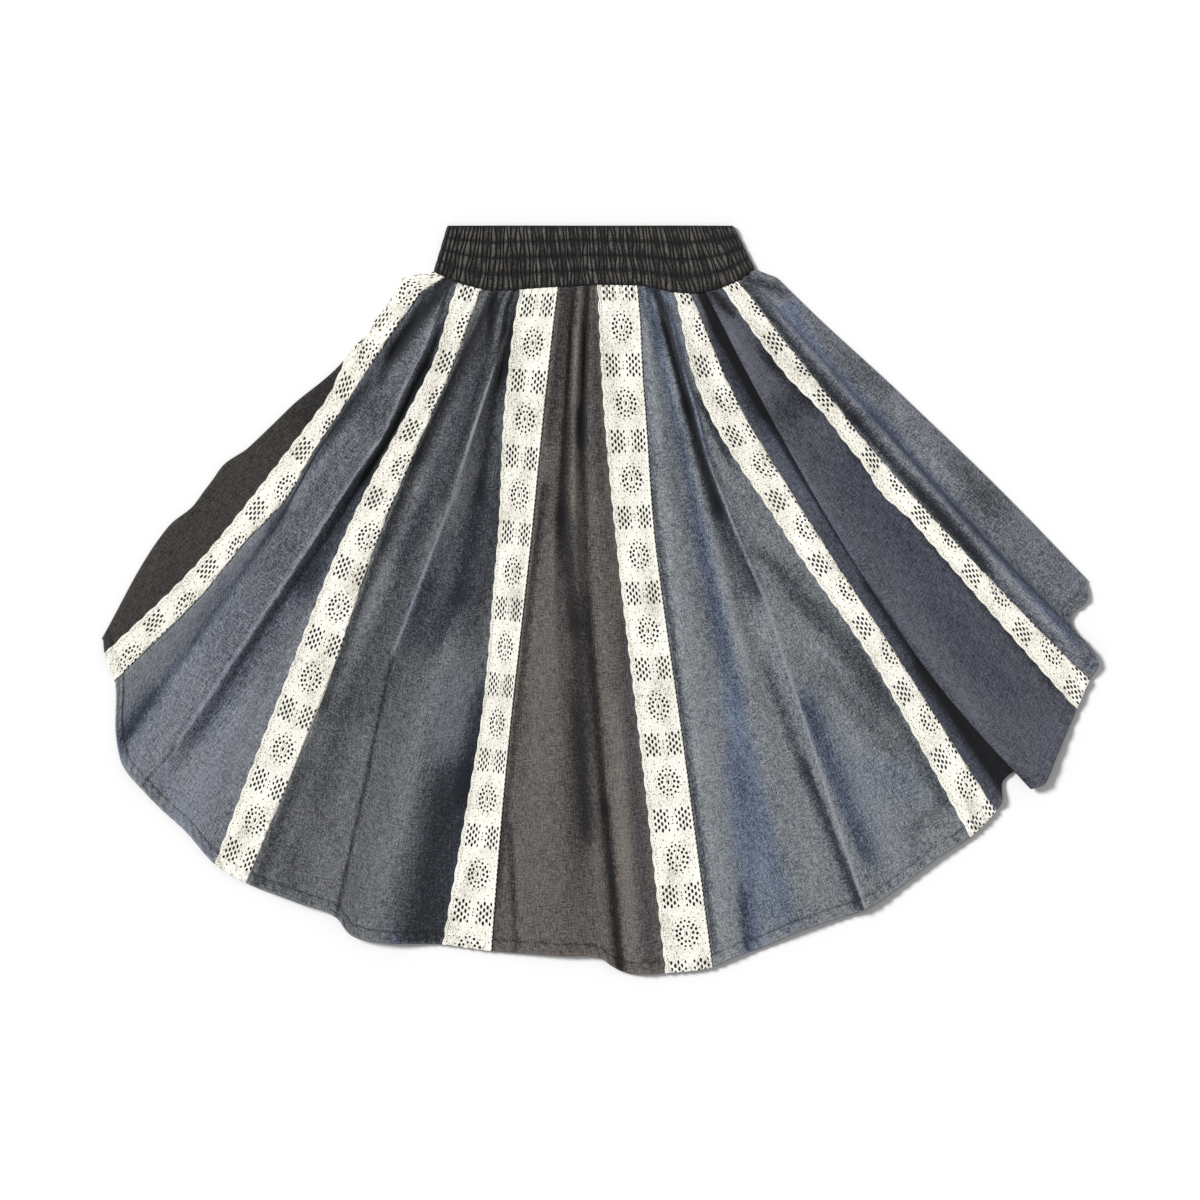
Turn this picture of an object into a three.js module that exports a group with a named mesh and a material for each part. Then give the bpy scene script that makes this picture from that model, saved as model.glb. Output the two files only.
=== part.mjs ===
// A gored midi skirt laid out flat: twelve denim and chambray gores with a strip of
// cotton lace in every seam, gathered into a wide smocked elastic waistband.
//
// Millimetres, +Z up, waist toward +Y. The skirt is a tube of cloth pressed nearly flat.
// It is drawn round a pole above the waist: every seam and every fold is one line that
// runs from the waist to the hem, and a line is known by its bearing from the pole
// (degrees from straight down, plus to the right) and by its height at five stations.
import * as THREE from 'three';

// ---- driving dimensions --------------------------------------------------------------
const WALL = 1.2;            // cloth thickness
const SEAM_GAP = 0.3;        // space left between two pieces that are sewn together
const BAND_GAP = 0.4;        // the same between the skirt and its waistband
const LACE_WALL = 1.0;       // lace thickness
const LACE_LIFT = 0.35;      // lace above the cloth it is sewn on
const FLAT_FRONT = 4.4;      // height of the front layer's face where it lies flat
const BACK_LIFT = LACE_WALL + 0.35;   // back cloth over a back lace strip
const BACK_GATHER = 0.55;    // how far the back is gathered in at the waist
const BACK_LAY = 5;          // width of the slope down beside a back lace strip
const BAND_TOP = { left: -157.5, right: 142.8, y: -142.8 };   // top edge of the waistband
const BAND_HALF_WIDTH = 160;
const BAND_LIFT = 1.2;       // how far a gather of the band stands out
const BAND_VALLEY = 5.4;     // height of the band's front face between two gathers
const GATHERS = 75;          // gathers on each side of the band
const SIDE_STILL = 0.02;     // part of a side, at its ends, where the gathers stay upright
const REPEAT = 80;           // length of one repeat of the lace
const SCALLOP = 20;          // length of one scallop of its edge
const SCALLOP_DEPTH = 1.5;
const FRINGE_CLEAR = 2;      // room between a scallop point and a row of the strip
const BACK_LACE_WIDTH = 45;
const BACK_LACE_IN = 0.5;    // back lace inside the slopes of its gore
const LACE_CLEAR = { waist: 6, hem: 14 };   // no hole this close to the lace's ends
const CORNER_MOST = 0.6;     // limits how far a corner of the wall is drawn out
const DRAWN_LIMIT = 36;      // bearing past which the sides are drawn in at the waist
const DRAWN_KEEP = { left: 0.54, right: 0.71 };   // what is left of the rest at the waist
const DRAWN_UNTIL = 0.045;   // part of a line over which the sides spread out again
const WAIST_HEIGHT = FLAT_FRONT + 1.4;      // height of the waist seam
const WAIST_SHARE = 0.25;    // how much of a fold's height shows at the waist seam
const RISEN_BY = 0.07;       // part of a line over which a fold reaches its height

// Stations along every line, as parts of its length from waist to hem.
const STATIONS = [0, 0.15, 0.4, 0.7, 1];
const ROWS = [0, 0.02, 0.06, 0.12, 0.19, 0.27, 0.35, 0.44, 0.53, 0.62, 0.71, 0.8, 0.9, 1];
const BACK_ROWS = [0, 0.02, 0.06, 0.35, 0.71, 1];

// The waist seam: bearing, radius from the pole.
const WAIST = [
  [-48, 262], [-42, 257], [-30, 242], [-20, 223], [-11, 211], [0, 205],
  [11.6, 210], [25, 236], [36.6, 249], [42, 250], [48, 250],
];

// ---- front layer: a row for each seam (gore after it), lace edge and fold ------------
// kind, name, bearing at the stations, hem radius, height at the stations
const FRONT = [
  ['turn', 'left', [-47.2, -43.9, -44.1, -44.6, -42.1], 776, [4.4, 4.4, 4.4, 4.4, 4.4]],
  ['edge', 'lace 1', [-46.0, -43.0, -40.9, -40.2, -41.2], 785, [6, 5.4, 6, 6, 5.6]],
  ['seam', 'seam 1', [-41.3, -39.9, -38.2, -37.9, -39.2], 801, [6.2, 6.8, 6.8, 6.2, 5.8]],
  ['fold', 'pocket', [-40.3, -37.9, -37.4, -36.6, -36.7], 845, [5.4, 4.8, 5, 5, 4.6]],
  ['fold', 'ridge 1', [-39.1, -36.2, -35.5, -35.4, -35.1], 866, [9, 12, 11, 10, 7.5]],
  ['fold', 'crease 1', [-37.7, -33.2, -32.0, -32.3, -32.7], 877, [10, 13, 14.5, 12, 8.5]],
  ['fold', 'hollow 1', [-36.9, -32.1, -31.2, -31.5, -31.4], 882, [5.6, 4.8, 4.6, 5.6, 6]],
  ['fold', 'wave 1', [-36.4, -31.6, -30.6, -29.8, -29.0], 890, [5.8, 5.6, 5.8, 8.4, 7.2]],
  ['edge', 'lace 2', [-35.9, -31.0, -29.9, -27.8, -26.3], 906, [6, 6.4, 6.4, 6.2, 5.8]],
  ['seam', 'seam 2', [-29.9, -27.3, -26.1, -24.2, -23.8], 910, [6.4, 7, 6.8, 6.4, 6]],
  ['fold', 'hollow 2a', [-28.9, -26.4, -25.3, -23.5, -23.0], 910, [5.6, 5.2, 5.6, 5.8, 5.6]],
  ['fold', 'ridge 2a', [-27.2, -23.7, -22.5, -21.8, -21.5], 909, [9, 11.5, 10.5, 10, 8]],
  ['fold', 'dip 2', [-24.8, -21.3, -20.6, -20.4, -20.1], 909, [8, 9.2, 9.6, 9.4, 7.8]],
  ['fold', 'crease 2', [-23.8, -20.1, -19.6, -19.1, -17.6], 910, [11, 14.5, 13.5, 11.5, 9]],
  ['fold', 'hollow 2b', [-22.7, -18.6, -15.3, -16.2, -16.2], 924, [6, 5.8, 5.6, 8.2, 8.6]],
  ['fold', 'ridge 2b', [-21.9, -17.9, -13.7, -14.3, -14.0], 922, [6.6, 7, 8.6, 11.5, 11]],
  ['edge', 'lace 3', [-21.2, -17.2, -12.4, -10.4, -10.3], 911, [6.2, 7, 7, 5.8, 5.4]],
  ['seam', 'seam 3', [-11.2, -9.7, -8.3, -7.7, -7.0], 910, [6.4, 7, 6.8, 6.2, 5.8]],
  ['fold', 'ridge 3a', [-8.8, -7.7, -6.6, -5.4, -5.0], 909, [8, 9, 9.4, 9.2, 7]],
  ['fold', 'ridge 3b', [-7.4, -6.4, -5.4, -3.2, -2.2], 909, [8.6, 9.4, 9.8, 10, 9]],
  ['fold', 'hollow 3a', [-6.2, -5.3, -4.2, -1.4, 0.2], 911, [5.8, 5.4, 5.4, 6.4, 7.6]],
  ['fold', 'ridge 3c', [-4.6, -4.2, -2.6, -0.5, 1.0], 920, [9, 11, 11, 9, 9.4]],
  ['fold', 'hollow 3b', [-3.0, -2.7, -1.4, 0.6, 1.9], 927, [5.6, 4.6, 4.8, 5, 4.8]],
  ['fold', 'ridge 3d', [-1.5, -1.0, 0.6, 2.1, 3.2], 929, [8, 9.2, 9.4, 8.8, 8]],
  ['edge', 'lace 4', [0, 0.9, 2.5, 3.8, 4.4], 929, [6.4, 7, 7, 6.6, 6.2]],
  ['seam', 'seam 4', [11.6, 8.9, 7.3, 7.5, 7.5], 928, [6.4, 7, 7, 6.6, 6.2]],
  ['fold', 'ridge 4a', [12.8, 11.0, 9.9, 9.4, 9.0], 921, [9, 11.5, 11, 10, 8]],
  ['fold', 'hollow 4a', [14.1, 13.6, 12.9, 11.9, 10.6], 917, [7, 7.4, 6.8, 6.8, 5]],
  ['fold', 'ridge 4b', [15.2, 14.9, 14.5, 14.4, 13.6], 908, [9, 11, 10.5, 9, 8]],
  ['fold', 'hollow 4b', [16.6, 16.1, 16.4, 16.6, 17.0], 905, [5.2, 4.8, 5, 6.4, 6.4]],
  ['fold', 'crease 4', [18.1, 17.2, 17.3, 17.9, 18.1], 905, [9, 12, 12, 10, 9.6]],
  ['fold', 'slope 4', [19.4, 17.7, 19.4, 20.9, 21.4], 892, [7.4, 8.4, 8.8, 7.6, 7]],
  ['fold', 'wave 4', [20.1, 18.0, 21.0, 23.4, 24.0], 881, [6.6, 7.4, 8.2, 8.8, 8]],
  ['edge', 'lace 5', [20.7, 18.5, 22.5, 25.8, 26.5], 876, [6.2, 6.8, 6.8, 6.4, 6]],
  ['seam', 'seam 5', [24.8, 24.2, 26.1, 28.0, 29.0], 864, [6.2, 6.8, 6.6, 6.4, 6]],
  ['fold', 'brink', [25.5, 26.0, 27.5, 28.9, 29.6], 859, [7.2, 8.4, 8.2, 8.2, 8]],
  ['tuck', 'foot', [26.7, 27.1, 28.3, 29.7, 30.4], 841, [4.6, 4.5, 4.5, 4.5, 4.5]],
  ['tuck', 'tuck low', [29.3, 29.2, 29.5, 30.9, 33.0], 836, [4.5, 4.4, 4.4, 4.4, 4.4]],
  ['tuck', 'tuck high', [29.3, 29.2, 29.5, 30.9, 33.0], 836, [5.2, 5.1, 5.1, 5.1, 5.1]],
  ['tuck', 'flap low', [28.2, 27.9, 28.2, 29.4, 31.8], 863, [6.2, 6.8, 6.8, 6.8, 6.8]],
  ['tuck', 'flap high', [28.2, 27.9, 28.2, 29.4, 31.8], 863, [9.2, 10, 10, 10, 10]],
  ['tuck', 'flap back', [29.5, 29.3, 29.6, 30.9, 32.8], 866, [9.4, 12.2, 12, 12, 10.6]],
  ['fold', 'flap slope', [30.8, 30.8, 31.9, 33.4, 35.0], 845, [8.4, 9.4, 9.2, 9.6, 8.6]],
  ['edge', 'lace 6', [32.2, 33.0, 35.3, 36.7, 37.7], 822, [6.2, 6.8, 6.6, 6.4, 6]],
  ['seam', 'seam 6', [36.6, 36.9, 37.5, 38.7, 39.9], 806, [6.2, 6.8, 6.6, 6.4, 6]],
  ['fold', 'hollow 6', [37.2, 37.8, 38.4, 39.3, 40.4], 804, [5.4, 5.2, 5.4, 5.8, 5.8]],
  ['fold', 'ridge 6', [38.4, 39.0, 39.5, 40.2, 41.1], 800, [8, 10.5, 10.5, 10.5, 9]],
  ['fold', 'foot 6', [39.4, 40.2, 40.9, 41.3, 41.9], 744, [5.6, 5.4, 5, 4.8, 4.6]],
  ['fold', 'wave 6', [41.0, 42.2, 43.0, 43.6, 43.9], 742, [6, 6.4, 6.2, 5.8, 5.4]],
  ['turn', 'right', [43.6, 44.0, 44.9, 45.2, 45.0], 727, [4.4, 4.4, 4.4, 4.4, 4.4]],
];

// Where a line swings aside from the way between its stations, as at the elbow of a fold.
// name, where along the line, degrees to the right, reach along the line
const BENDS = [
  ['left', 0.27, 0.8, 0.13],
  ['left', 0.18, 0.7, 0.03],
  ['left', 0.57, -0.5, 0.06],
  ['left', 0.68, 0.4, 0.06],
  ['seam 1', 0.52, 0.8, 0.14],
  ['pocket', 0.52, 0.7, 0.14],
  ['ridge 1', 0.28, 0.4, 0.1],
  ['crease 1', 0.28, 0.7, 0.09],
  ['hollow 1', 0.28, 0.7, 0.1],
  ['wave 1', 0.28, 0.3, 0.1],
  ['crease 4', 0.27, -0.5, 0.09],
  ['slope 4', 0.27, -0.7, 0.1],
  ['crease 4', 0.52, 0.4, 0.09],
  ['lace 6', 0.28, 0.5, 0.09],
  ['lace 6', 0.47, -0.6, 0.08],
];

// ---- back layer: a row for each seam and each plain line between, right to left ------
// kind, name, waist bearing, hem bearing
const BACK = [
  ['plain', '', 38.5, 42.4],
  ['seam', 'back seam 1', 31.5, 34.5],
  ['plain', '', 28.6, 29.2],
  ['seam', 'back seam 2', 19, 20.5],
  ['plain', '', 16, 15.5],
  ['seam', 'back seam 3', 6.5, 7],
  ['plain', '', 3.4, 2],
  ['seam', 'back seam 4', -6.5, -7],
  ['plain', '', -9.6, -12],
  ['seam', 'back seam 5', -19, -20.5],
  ['plain', '', -22, -25.5],
  ['seam', 'back seam 6', -31, -33.5],
  ['plain', '', -36.5, -38.2],
];
// The back hem: bearing, radius from the pole.
const BACK_HEM = [
  [-44, 768], [-38.2, 806], [-33.5, 862], [-25.5, 896], [-12, 902], [2, 902], [15.5, 896],
  [20.5, 886], [29.2, 842], [34.5, 836], [38, 802], [41, 744], [46, 728],
];

// ---- the lace: a row for each hole that is cut through -------------------------------
// start and end along the repeat (from the middle of the rosette), across (as a part of the
// width from the scalloped edge)
const LACE_COLUMNS = [0, 0.2, 0.31, 0.49, 0.61, 0.99];
const LACE_HOLES = [
  { from: -3.2, to: 3.2, column: 3 },
  { from: 28, to: 34.4, column: 1 },
  { from: 28, to: 34.4, column: 3 },
  { from: 42, to: 48.4, column: 1 },
  { from: 42, to: 48.4, column: 3 },
];
// distance from the waist to the middle of the first rosette, on each front lace
const FIRST_ROSETTE = [38, 44, 58, 44, 40, 36];

// ---- colours -------------------------------------------------------------------------
const CHARCOAL = 0x35312f;
const BLUE = 0x48546c;
const SLATE = 0x4b5565;
const STEEL = 0x505c74;
const NAVY = 0x353b50;
const BROWN = 0x403b39;
const LACE_COLOUR = 0xe8e3d6;

const cloth = (color) => new THREE.MeshStandardMaterial({ color, roughness: 0.9, metalness: 0 });

// ---- small tools ---------------------------------------------------------------------
const mix = (a, b, t) => a + (b - a) * t;
const rad = THREE.MathUtils.degToRad;

// A smooth value between stations that never passes its neighbours.
function glide(stations, values, v) {
  const n = stations.length;
  let i = 0;
  while (i < n - 2 && v > stations[i + 1]) i += 1;
  const slope = (k) => (values[k + 1] - values[k]) / (stations[k + 1] - stations[k]);
  const tangent = (k) => {
    if (k === 0) return slope(0);
    if (k === n - 1) return slope(n - 2);
    const a = slope(k - 1);
    const b = slope(k);
    return a * b <= 0 ? 0 : (2 * a * b) / (a + b);
  };
  const h = stations[i + 1] - stations[i];
  const t = (v - stations[i]) / h;
  const t2 = t * t;
  const t3 = t2 * t;
  return (2 * t3 - 3 * t2 + 1) * values[i] + (t3 - 2 * t2 + t) * h * tangent(i)
    + (3 * t2 - 2 * t3) * values[i + 1] + (t3 - t2) * h * tangent(i + 1);
}

function waistRadius(bearing) {
  return glide(WAIST.map((w) => w[0]), WAIST.map((w) => w[1]), bearing);
}

function backHemRadius(bearing) {
  return glide(BACK_HEM.map((h) => h[0]), BACK_HEM.map((h) => h[1]), bearing);
}

function polar(bearing, radius, height) {
  const a = rad(bearing);
  return new THREE.Vector3(radius * Math.sin(a), -radius * Math.cos(a), height);
}

const softStep = (t) => THREE.MathUtils.smoothstep(t, 0, 1);

// At the waist the sides are drawn in to the width of the band.
function drawnIn(bearing, v) {
  const pull = Math.max(0, 1 - v / DRAWN_UNTIL);
  if (pull === 0 || Math.abs(bearing) < DRAWN_LIMIT) return bearing;
  const keep = bearing < 0 ? DRAWN_KEEP.left : DRAWN_KEEP.right;
  const size = DRAWN_LIMIT + (Math.abs(bearing) - DRAWN_LIMIT) * mix(1, keep, pull);
  return Math.sign(bearing) * size;
}

// Folds rise out of the waist seam over the first few centimetres.
function risen(kind, height, v) {
  if (kind !== 'fold') return height;
  const low = mix(WAIST_HEIGHT, height, WAIST_SHARE);
  return mix(low, height, softStep(v / RISEN_BY));
}

function bendAt(name, v) {
  let total = 0;
  for (const [line, at, degrees, reach] of BENDS) {
    if (line === name) total += degrees * softStep(1 - Math.abs(v - at) / reach);
  }
  return total;
}

function frontPoint(line, v, aside = 0) {
  const [kind, name, bearings, hem, heights] = line;
  let bearing = drawnIn(glide(STATIONS, bearings, v) + bendAt(name, v), v);
  bearing += THREE.MathUtils.radToDeg(aside / mix(waistRadius(bearing), hem, v));
  const radius = mix(waistRadius(bearing), hem, v);
  return polar(bearing, radius, risen(kind, glide(STATIONS, heights, v), v));
}

// ---- the ring: one list of columns all the way round ---------------------------------
// Each column is a function that takes v and gives a point.
const ring = [];
const seamColumn = {};
const edgeColumn = {};

function addFront(line) {
  const [kind, name] = line;
  if (kind === 'seam') seamColumn[name] = ring.length;
  if (kind === 'edge') edgeColumn[name] = ring.length;
  ring.push((v) => frontPoint(line, v));
}

// The side fold: a half turn of the cloth from the front layer to the back one.
function addTurn(line, side) {
  const steps = [90, 45, 0, -45, -90];
  if (side < 0) steps.reverse();
  const half = FLAT_FRONT / 2;
  for (const step of steps) {
    ring.push((v) => {
      const point = frontPoint(line, v, side * half * (Math.cos(rad(step)) - 1));
      point.z = half + half * Math.sin(rad(step));
      return point;
    });
  }
}

function backPoint(row, shift, v, height) {
  const [, , waist, hem] = row;
  const high = waist + THREE.MathUtils.radToDeg(shift * BACK_GATHER / waistRadius(waist));
  const low = hem + THREE.MathUtils.radToDeg(shift / backHemRadius(hem));
  const start = polar(high, waistRadius(high), height);
  return start.lerp(polar(low, backHemRadius(low), height), v);
}

function addBack(row) {
  const [kind, name] = row;
  const add = (shift, height) => ring.push((v) => backPoint(row, shift, v, height));
  if (kind === 'plain') {
    add(0, 0);
    return;
  }
  add(BACK_LACE_WIDTH + BACK_LAY, 0);
  add(BACK_LACE_WIDTH, BACK_LIFT);
  seamColumn[name] = ring.length;
  add(0, BACK_LIFT);
  add(-BACK_LAY, 0);
}

addTurn(FRONT[0], -1);
FRONT.slice(1, -1).forEach(addFront);
addTurn(FRONT[FRONT.length - 1], 1);
BACK.forEach(addBack);

// Outward normal of the cloth at a column, lengthened at a corner so that the wall keeps
// its thickness there.
function normalAt(column, v) {
  const n = ring.length;
  const here = ring[column](v);
  const before = ring[(column - 1 + n) % n](v);
  const after = ring[(column + 1) % n](v);
  const step = 0.004;
  const down = ring[column](Math.min(1, v + step)).sub(ring[column](Math.max(0, v - step)));
  const n1 = down.clone().cross(here.clone().sub(before)).normalize();
  const n2 = down.clone().cross(after.clone().sub(here)).normalize();
  const sum = n1.clone().add(n2).normalize();
  return sum.divideScalar(Math.max(CORNER_MOST, sum.dot(n1)));
}

// A pair of points, face and back of the cloth, at a column. lean moves the point along the
// ring toward its neighbour, for the space at a seam.
function wallAt(column, v, lean = 0) {
  const n = ring.length;
  const face = ring[column](v);
  const normal = normalAt(column, v);
  if (lean !== 0) {
    const other = ring[(column + Math.sign(lean) + n) % n](v);
    face.addScaledVector(other.sub(face).normalize(), Math.abs(lean));
  }
  return { face, normal, back: face.clone().addScaledVector(normal, -WALL) };
}

// ---- solids from grids ---------------------------------------------------------------
// rows[k][j] = { face, back }. cut(k, j) leaves a cell out. fringe(k) gives extra points
// between two rows along the first column.
function sheetSolid(rows, cut = () => false, fringe = () => []) {
  const points = [];
  const triangles = [];
  const index = new Map();
  const put = (point) => {
    if (!index.has(point)) {
      index.set(point, points.length / 3);
      points.push(point.x, point.y, point.z);
    }
    return index.get(point);
  };
  const face = (a, b, c) => triangles.push(put(a.face), put(b.face), put(c.face));
  const back = (a, b, c) => triangles.push(put(a.back), put(c.back), put(b.back));
  const both = (a, b, c) => {
    face(a, b, c);
    back(a, b, c);
  };
  const rim = (from, to) => {
    triangles.push(put(to.face), put(from.face), put(from.back));
    triangles.push(put(to.face), put(from.back), put(to.back));
  };
  const lastRow = rows.length - 2;
  const lastColumn = rows[0].length - 2;
  const missing = (k, j) => k < 0 || j < 0 || k > lastRow || j > lastColumn || cut(k, j);
  for (let k = 0; k <= lastRow; k += 1) {
    for (let j = 0; j <= lastColumn; j += 1) {
      if (missing(k, j)) continue;
      const a = rows[k][j];
      const b = rows[k + 1][j];
      const c = rows[k + 1][j + 1];
      const d = rows[k][j + 1];
      const extra = j === 0 ? fringe(k) : [];
      if (extra.length === 0) {
        both(a, b, c);
        both(a, c, d);
        if (missing(k, j - 1)) rim(a, b);
      } else {
        const chain = [a, ...extra, b];
        const middle = Math.floor(chain.length / 2);
        for (let i = 0; i < chain.length - 1; i += 1) {
          both(i < middle ? d : c, chain[i], chain[i + 1]);
          rim(chain[i], chain[i + 1]);
        }
        both(d, chain[middle], c);
      }
      if (missing(k, j + 1)) rim(c, d);
      if (missing(k - 1, j)) rim(d, a);
      if (missing(k + 1, j)) rim(b, c);
    }
  }
  const geometry = new THREE.BufferGeometry();
  geometry.setAttribute('position', new THREE.Float32BufferAttribute(points, 3));
  geometry.setIndex(triangles);
  geometry.computeVertexNormals();
  return geometry;
}

const skirt = new THREE.Group();

function addPiece(name, geometry, color) {
  const mesh = new THREE.Mesh(geometry, cloth(color));
  mesh.name = name;
  skirt.add(mesh);
}

// ---- gores ---------------------------------------------------------------------------
function goreGrid(from, to, rowList) {
  const n = ring.length;
  const count = ((to - from + n) % n) + 1;
  return rowList.map((v) => {
    const row = [];
    for (let i = 0; i < count; i += 1) {
      const lean = i === 0 ? SEAM_GAP / 2 : (i === count - 1 ? -SEAM_GAP / 2 : 0);
      row.push(wallAt((from + i) % n, v, lean));
    }
    return row;
  });
}

// name, seam it starts at, seam it ends at, colour, rows
const GORES = [
  ['gore_left', 'back seam 6', 'seam 1', CHARCOAL, ROWS],
  ['gore_front_1', 'seam 1', 'seam 2', BLUE, ROWS],
  ['gore_front_2', 'seam 2', 'seam 3', SLATE, ROWS],
  ['gore_front_3', 'seam 3', 'seam 4', BROWN, ROWS],
  ['gore_front_4', 'seam 4', 'seam 5', STEEL, ROWS],
  ['gore_front_5', 'seam 5', 'seam 6', NAVY, ROWS],
  ['gore_right', 'seam 6', 'back seam 1', BLUE, ROWS],
  ['gore_back_1', 'back seam 1', 'back seam 2', SLATE, BACK_ROWS],
  ['gore_back_2', 'back seam 2', 'back seam 3', CHARCOAL, BACK_ROWS],
  ['gore_back_3', 'back seam 3', 'back seam 4', STEEL, BACK_ROWS],
  ['gore_back_4', 'back seam 4', 'back seam 5', NAVY, BACK_ROWS],
  ['gore_back_5', 'back seam 5', 'back seam 6', BLUE, BACK_ROWS],
];
const goreRows = {};
for (const [name, from, to, color, rowList] of GORES) {
  const rows = goreGrid(seamColumn[from], seamColumn[to], rowList);
  goreRows[to] = rows;
  addPiece(name, sheetSolid(rows), color);
}

// ---- front laces: the outer points of the gore moved out, with the largest gaps cut through ---
// A point on the gore's faceted face, between its last two columns.
function onGore(rows, across, v) {
  let k = 0;
  while (k < ROWS.length - 2 && v > ROWS[k + 1]) k += 1;
  const g = (v - ROWS[k]) / (ROWS[k + 1] - ROWS[k]);
  const j = rows[k].length - 2;
  const [a, b] = [rows[k][j], rows[k + 1][j]];
  const [d, c] = [rows[k][j + 1], rows[k + 1][j + 1]];
  const blend = (key) => {
    const point = a[key].clone();
    if (across <= g) {
      point.addScaledVector(b[key].clone().sub(a[key]), g);
      return point.addScaledVector(c[key].clone().sub(b[key]), across);
    }
    point.addScaledVector(d[key].clone().sub(a[key]), across);
    return point.addScaledVector(c[key].clone().sub(d[key]), g);
  };
  return { point: blend('face'), normal: blend('normal') };
}

function lacePair(rows, across, v) {
  const { point, normal } = onGore(rows, across, v);
  return {
    face: point.clone().addScaledVector(normal, LACE_LIFT + LACE_WALL),
    back: point.clone().addScaledVector(normal, LACE_LIFT),
  };
}

function frontLace(number) {
  const rows = goreRows[`seam ${number}`];
  const middle = ROWS.map((v) => onGore(rows, 0.5, v).point);
  const reach = [0];
  for (let k = 1; k < ROWS.length; k += 1) {
    reach.push(reach[k - 1] + middle[k].distanceTo(middle[k - 1]));
  }
  const length = reach[reach.length - 1];
  const toPart = (distance) => {
    let k = 0;
    while (k < ROWS.length - 2 && distance > reach[k + 1]) k += 1;
    return mix(ROWS[k], ROWS[k + 1], (distance - reach[k]) / (reach[k + 1] - reach[k]));
  };
  // rows of the strip: its two ends and both ends of every row of holes
  const stops = new Set([0, length]);
  const holes = [];
  for (let n = -1; n * REPEAT < length; n += 1) {
    for (const hole of LACE_HOLES) {
      const from = FIRST_ROSETTE[number - 1] + n * REPEAT + hole.from;
      const to = from + hole.to - hole.from;
      if (from < LACE_CLEAR.waist || to > length - LACE_CLEAR.hem) continue;
      stops.add(from);
      stops.add(to);
      holes.push({ from, column: hole.column });
    }
  }
  const lines = [...stops].sort((a, b) => a - b);
  const half = Math.floor(ROWS.length / 2);
  const width = middle[half].distanceTo(onGore(rows, 0, ROWS[half]).point) * 2;
  const grid = lines.map((distance) => {
    const v = toPart(distance);
    return LACE_COLUMNS.map((across) => lacePair(rows, across, v));
  });
  const cut = (k, j) => holes.some((hole) => hole.from === lines[k] && hole.column === j);
  // the scalloped edge: out at each peak, in at each valley
  const fringe = (k) => {
    const extra = [];
    for (let d = SCALLOP / 2; d < length - SCALLOP / 4; d += SCALLOP / 2) {
      if (d < lines[k] + FRINGE_CLEAR || d > lines[k + 1] - FRINGE_CLEAR) continue;
      const valley = Math.round(d / (SCALLOP / 2)) % 2 === 1;
      extra.push(lacePair(rows, valley ? SCALLOP_DEPTH / width : 0, toPart(d)));
    }
    return extra;
  };
  addPiece(`lace_front_${number}`, sheetSolid(grid, cut, fringe), LACE_COLOUR);
}
for (let number = 1; number <= 6; number += 1) frontLace(number);

// ---- back laces: plain strips on the ground, the gore lies over them -----------------
BACK.filter((row) => row[0] === 'seam').forEach((row, i) => {
  const rows = BACK_ROWS.map((v) => [BACK_LACE_WIDTH - BACK_LACE_IN, BACK_LACE_IN].map((shift) => {
    const back = backPoint(row, shift, v, LACE_WALL);
    const face = backPoint(row, shift, v, 0);
    return { face, back };
  }));
  addPiece(`lace_back_${i + 1}`, sheetSolid(rows), LACE_COLOUR);
});

// ---- waistband: a flattened tube, gathered over elastic ------------------------------
// levels from the seam up: height, how far the gathers stand out, sideways shift in gathers
const BAND_LEVELS = [
  [0, 0.7, 0], [0.23, 1, 0.35], [0.49, 0.75, -0.2], [0.75, 1, 0.3], [1, 0.8, 0],
];

// The waist edge of one layer of the skirt, as the bearing and place of its points.
function waistEdge(front) {
  const edge = ring.map((column) => column(0))
    .filter((point) => (front ? point.z >= FLAT_FRONT / 2 : point.z <= FLAT_FRONT / 2))
    .map((point) => ({ point, bearing: THREE.MathUtils.radToDeg(Math.atan2(point.x, -point.y)) }));
  edge.sort((a, b) => a.bearing - b.bearing);
  const rising = [];
  for (const entry of edge) {
    if (rising.length === 0 || entry.bearing > rising[rising.length - 1].bearing + 0.05) {
      rising.push(entry);
    }
  }
  return rising;
}
const EDGES = { front: waistEdge(true), back: waistEdge(false) };

// Where a bearing meets that edge, a seam gap toward the band.
function onWaistEdge(edge, bearing) {
  let i = 0;
  while (i < edge.length - 2 && bearing > edge[i + 1].bearing) i += 1;
  const [a, b] = [edge[i].point, edge[i + 1].point];
  const ray = polar(bearing, 1, 0);
  const chord = b.clone().sub(a);
  const radius = (a.x * chord.y - a.y * chord.x) / (ray.x * chord.y - ray.y * chord.x);
  return polar(bearing, radius - BAND_GAP, 0);
}

// A point of the band's plan: side -1 left .. 1 right, level 0 seam .. 1 top.
function bandPlan(front, side, level) {
  const ends = [FRONT[0], FRONT[FRONT.length - 1]].map((line) => drawnIn(line[2][0], 0));
  const bearing = side < 0 ? -side * ends[0] : side * ends[1];
  const low = onWaistEdge(front ? EDGES.front : EDGES.back, bearing);
  const part = (side + 1) / 2;
  const high = new THREE.Vector3(mix(BAND_TOP.left, BAND_TOP.right, part), BAND_TOP.y, 0);
  return low.lerp(high, level);
}

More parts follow.
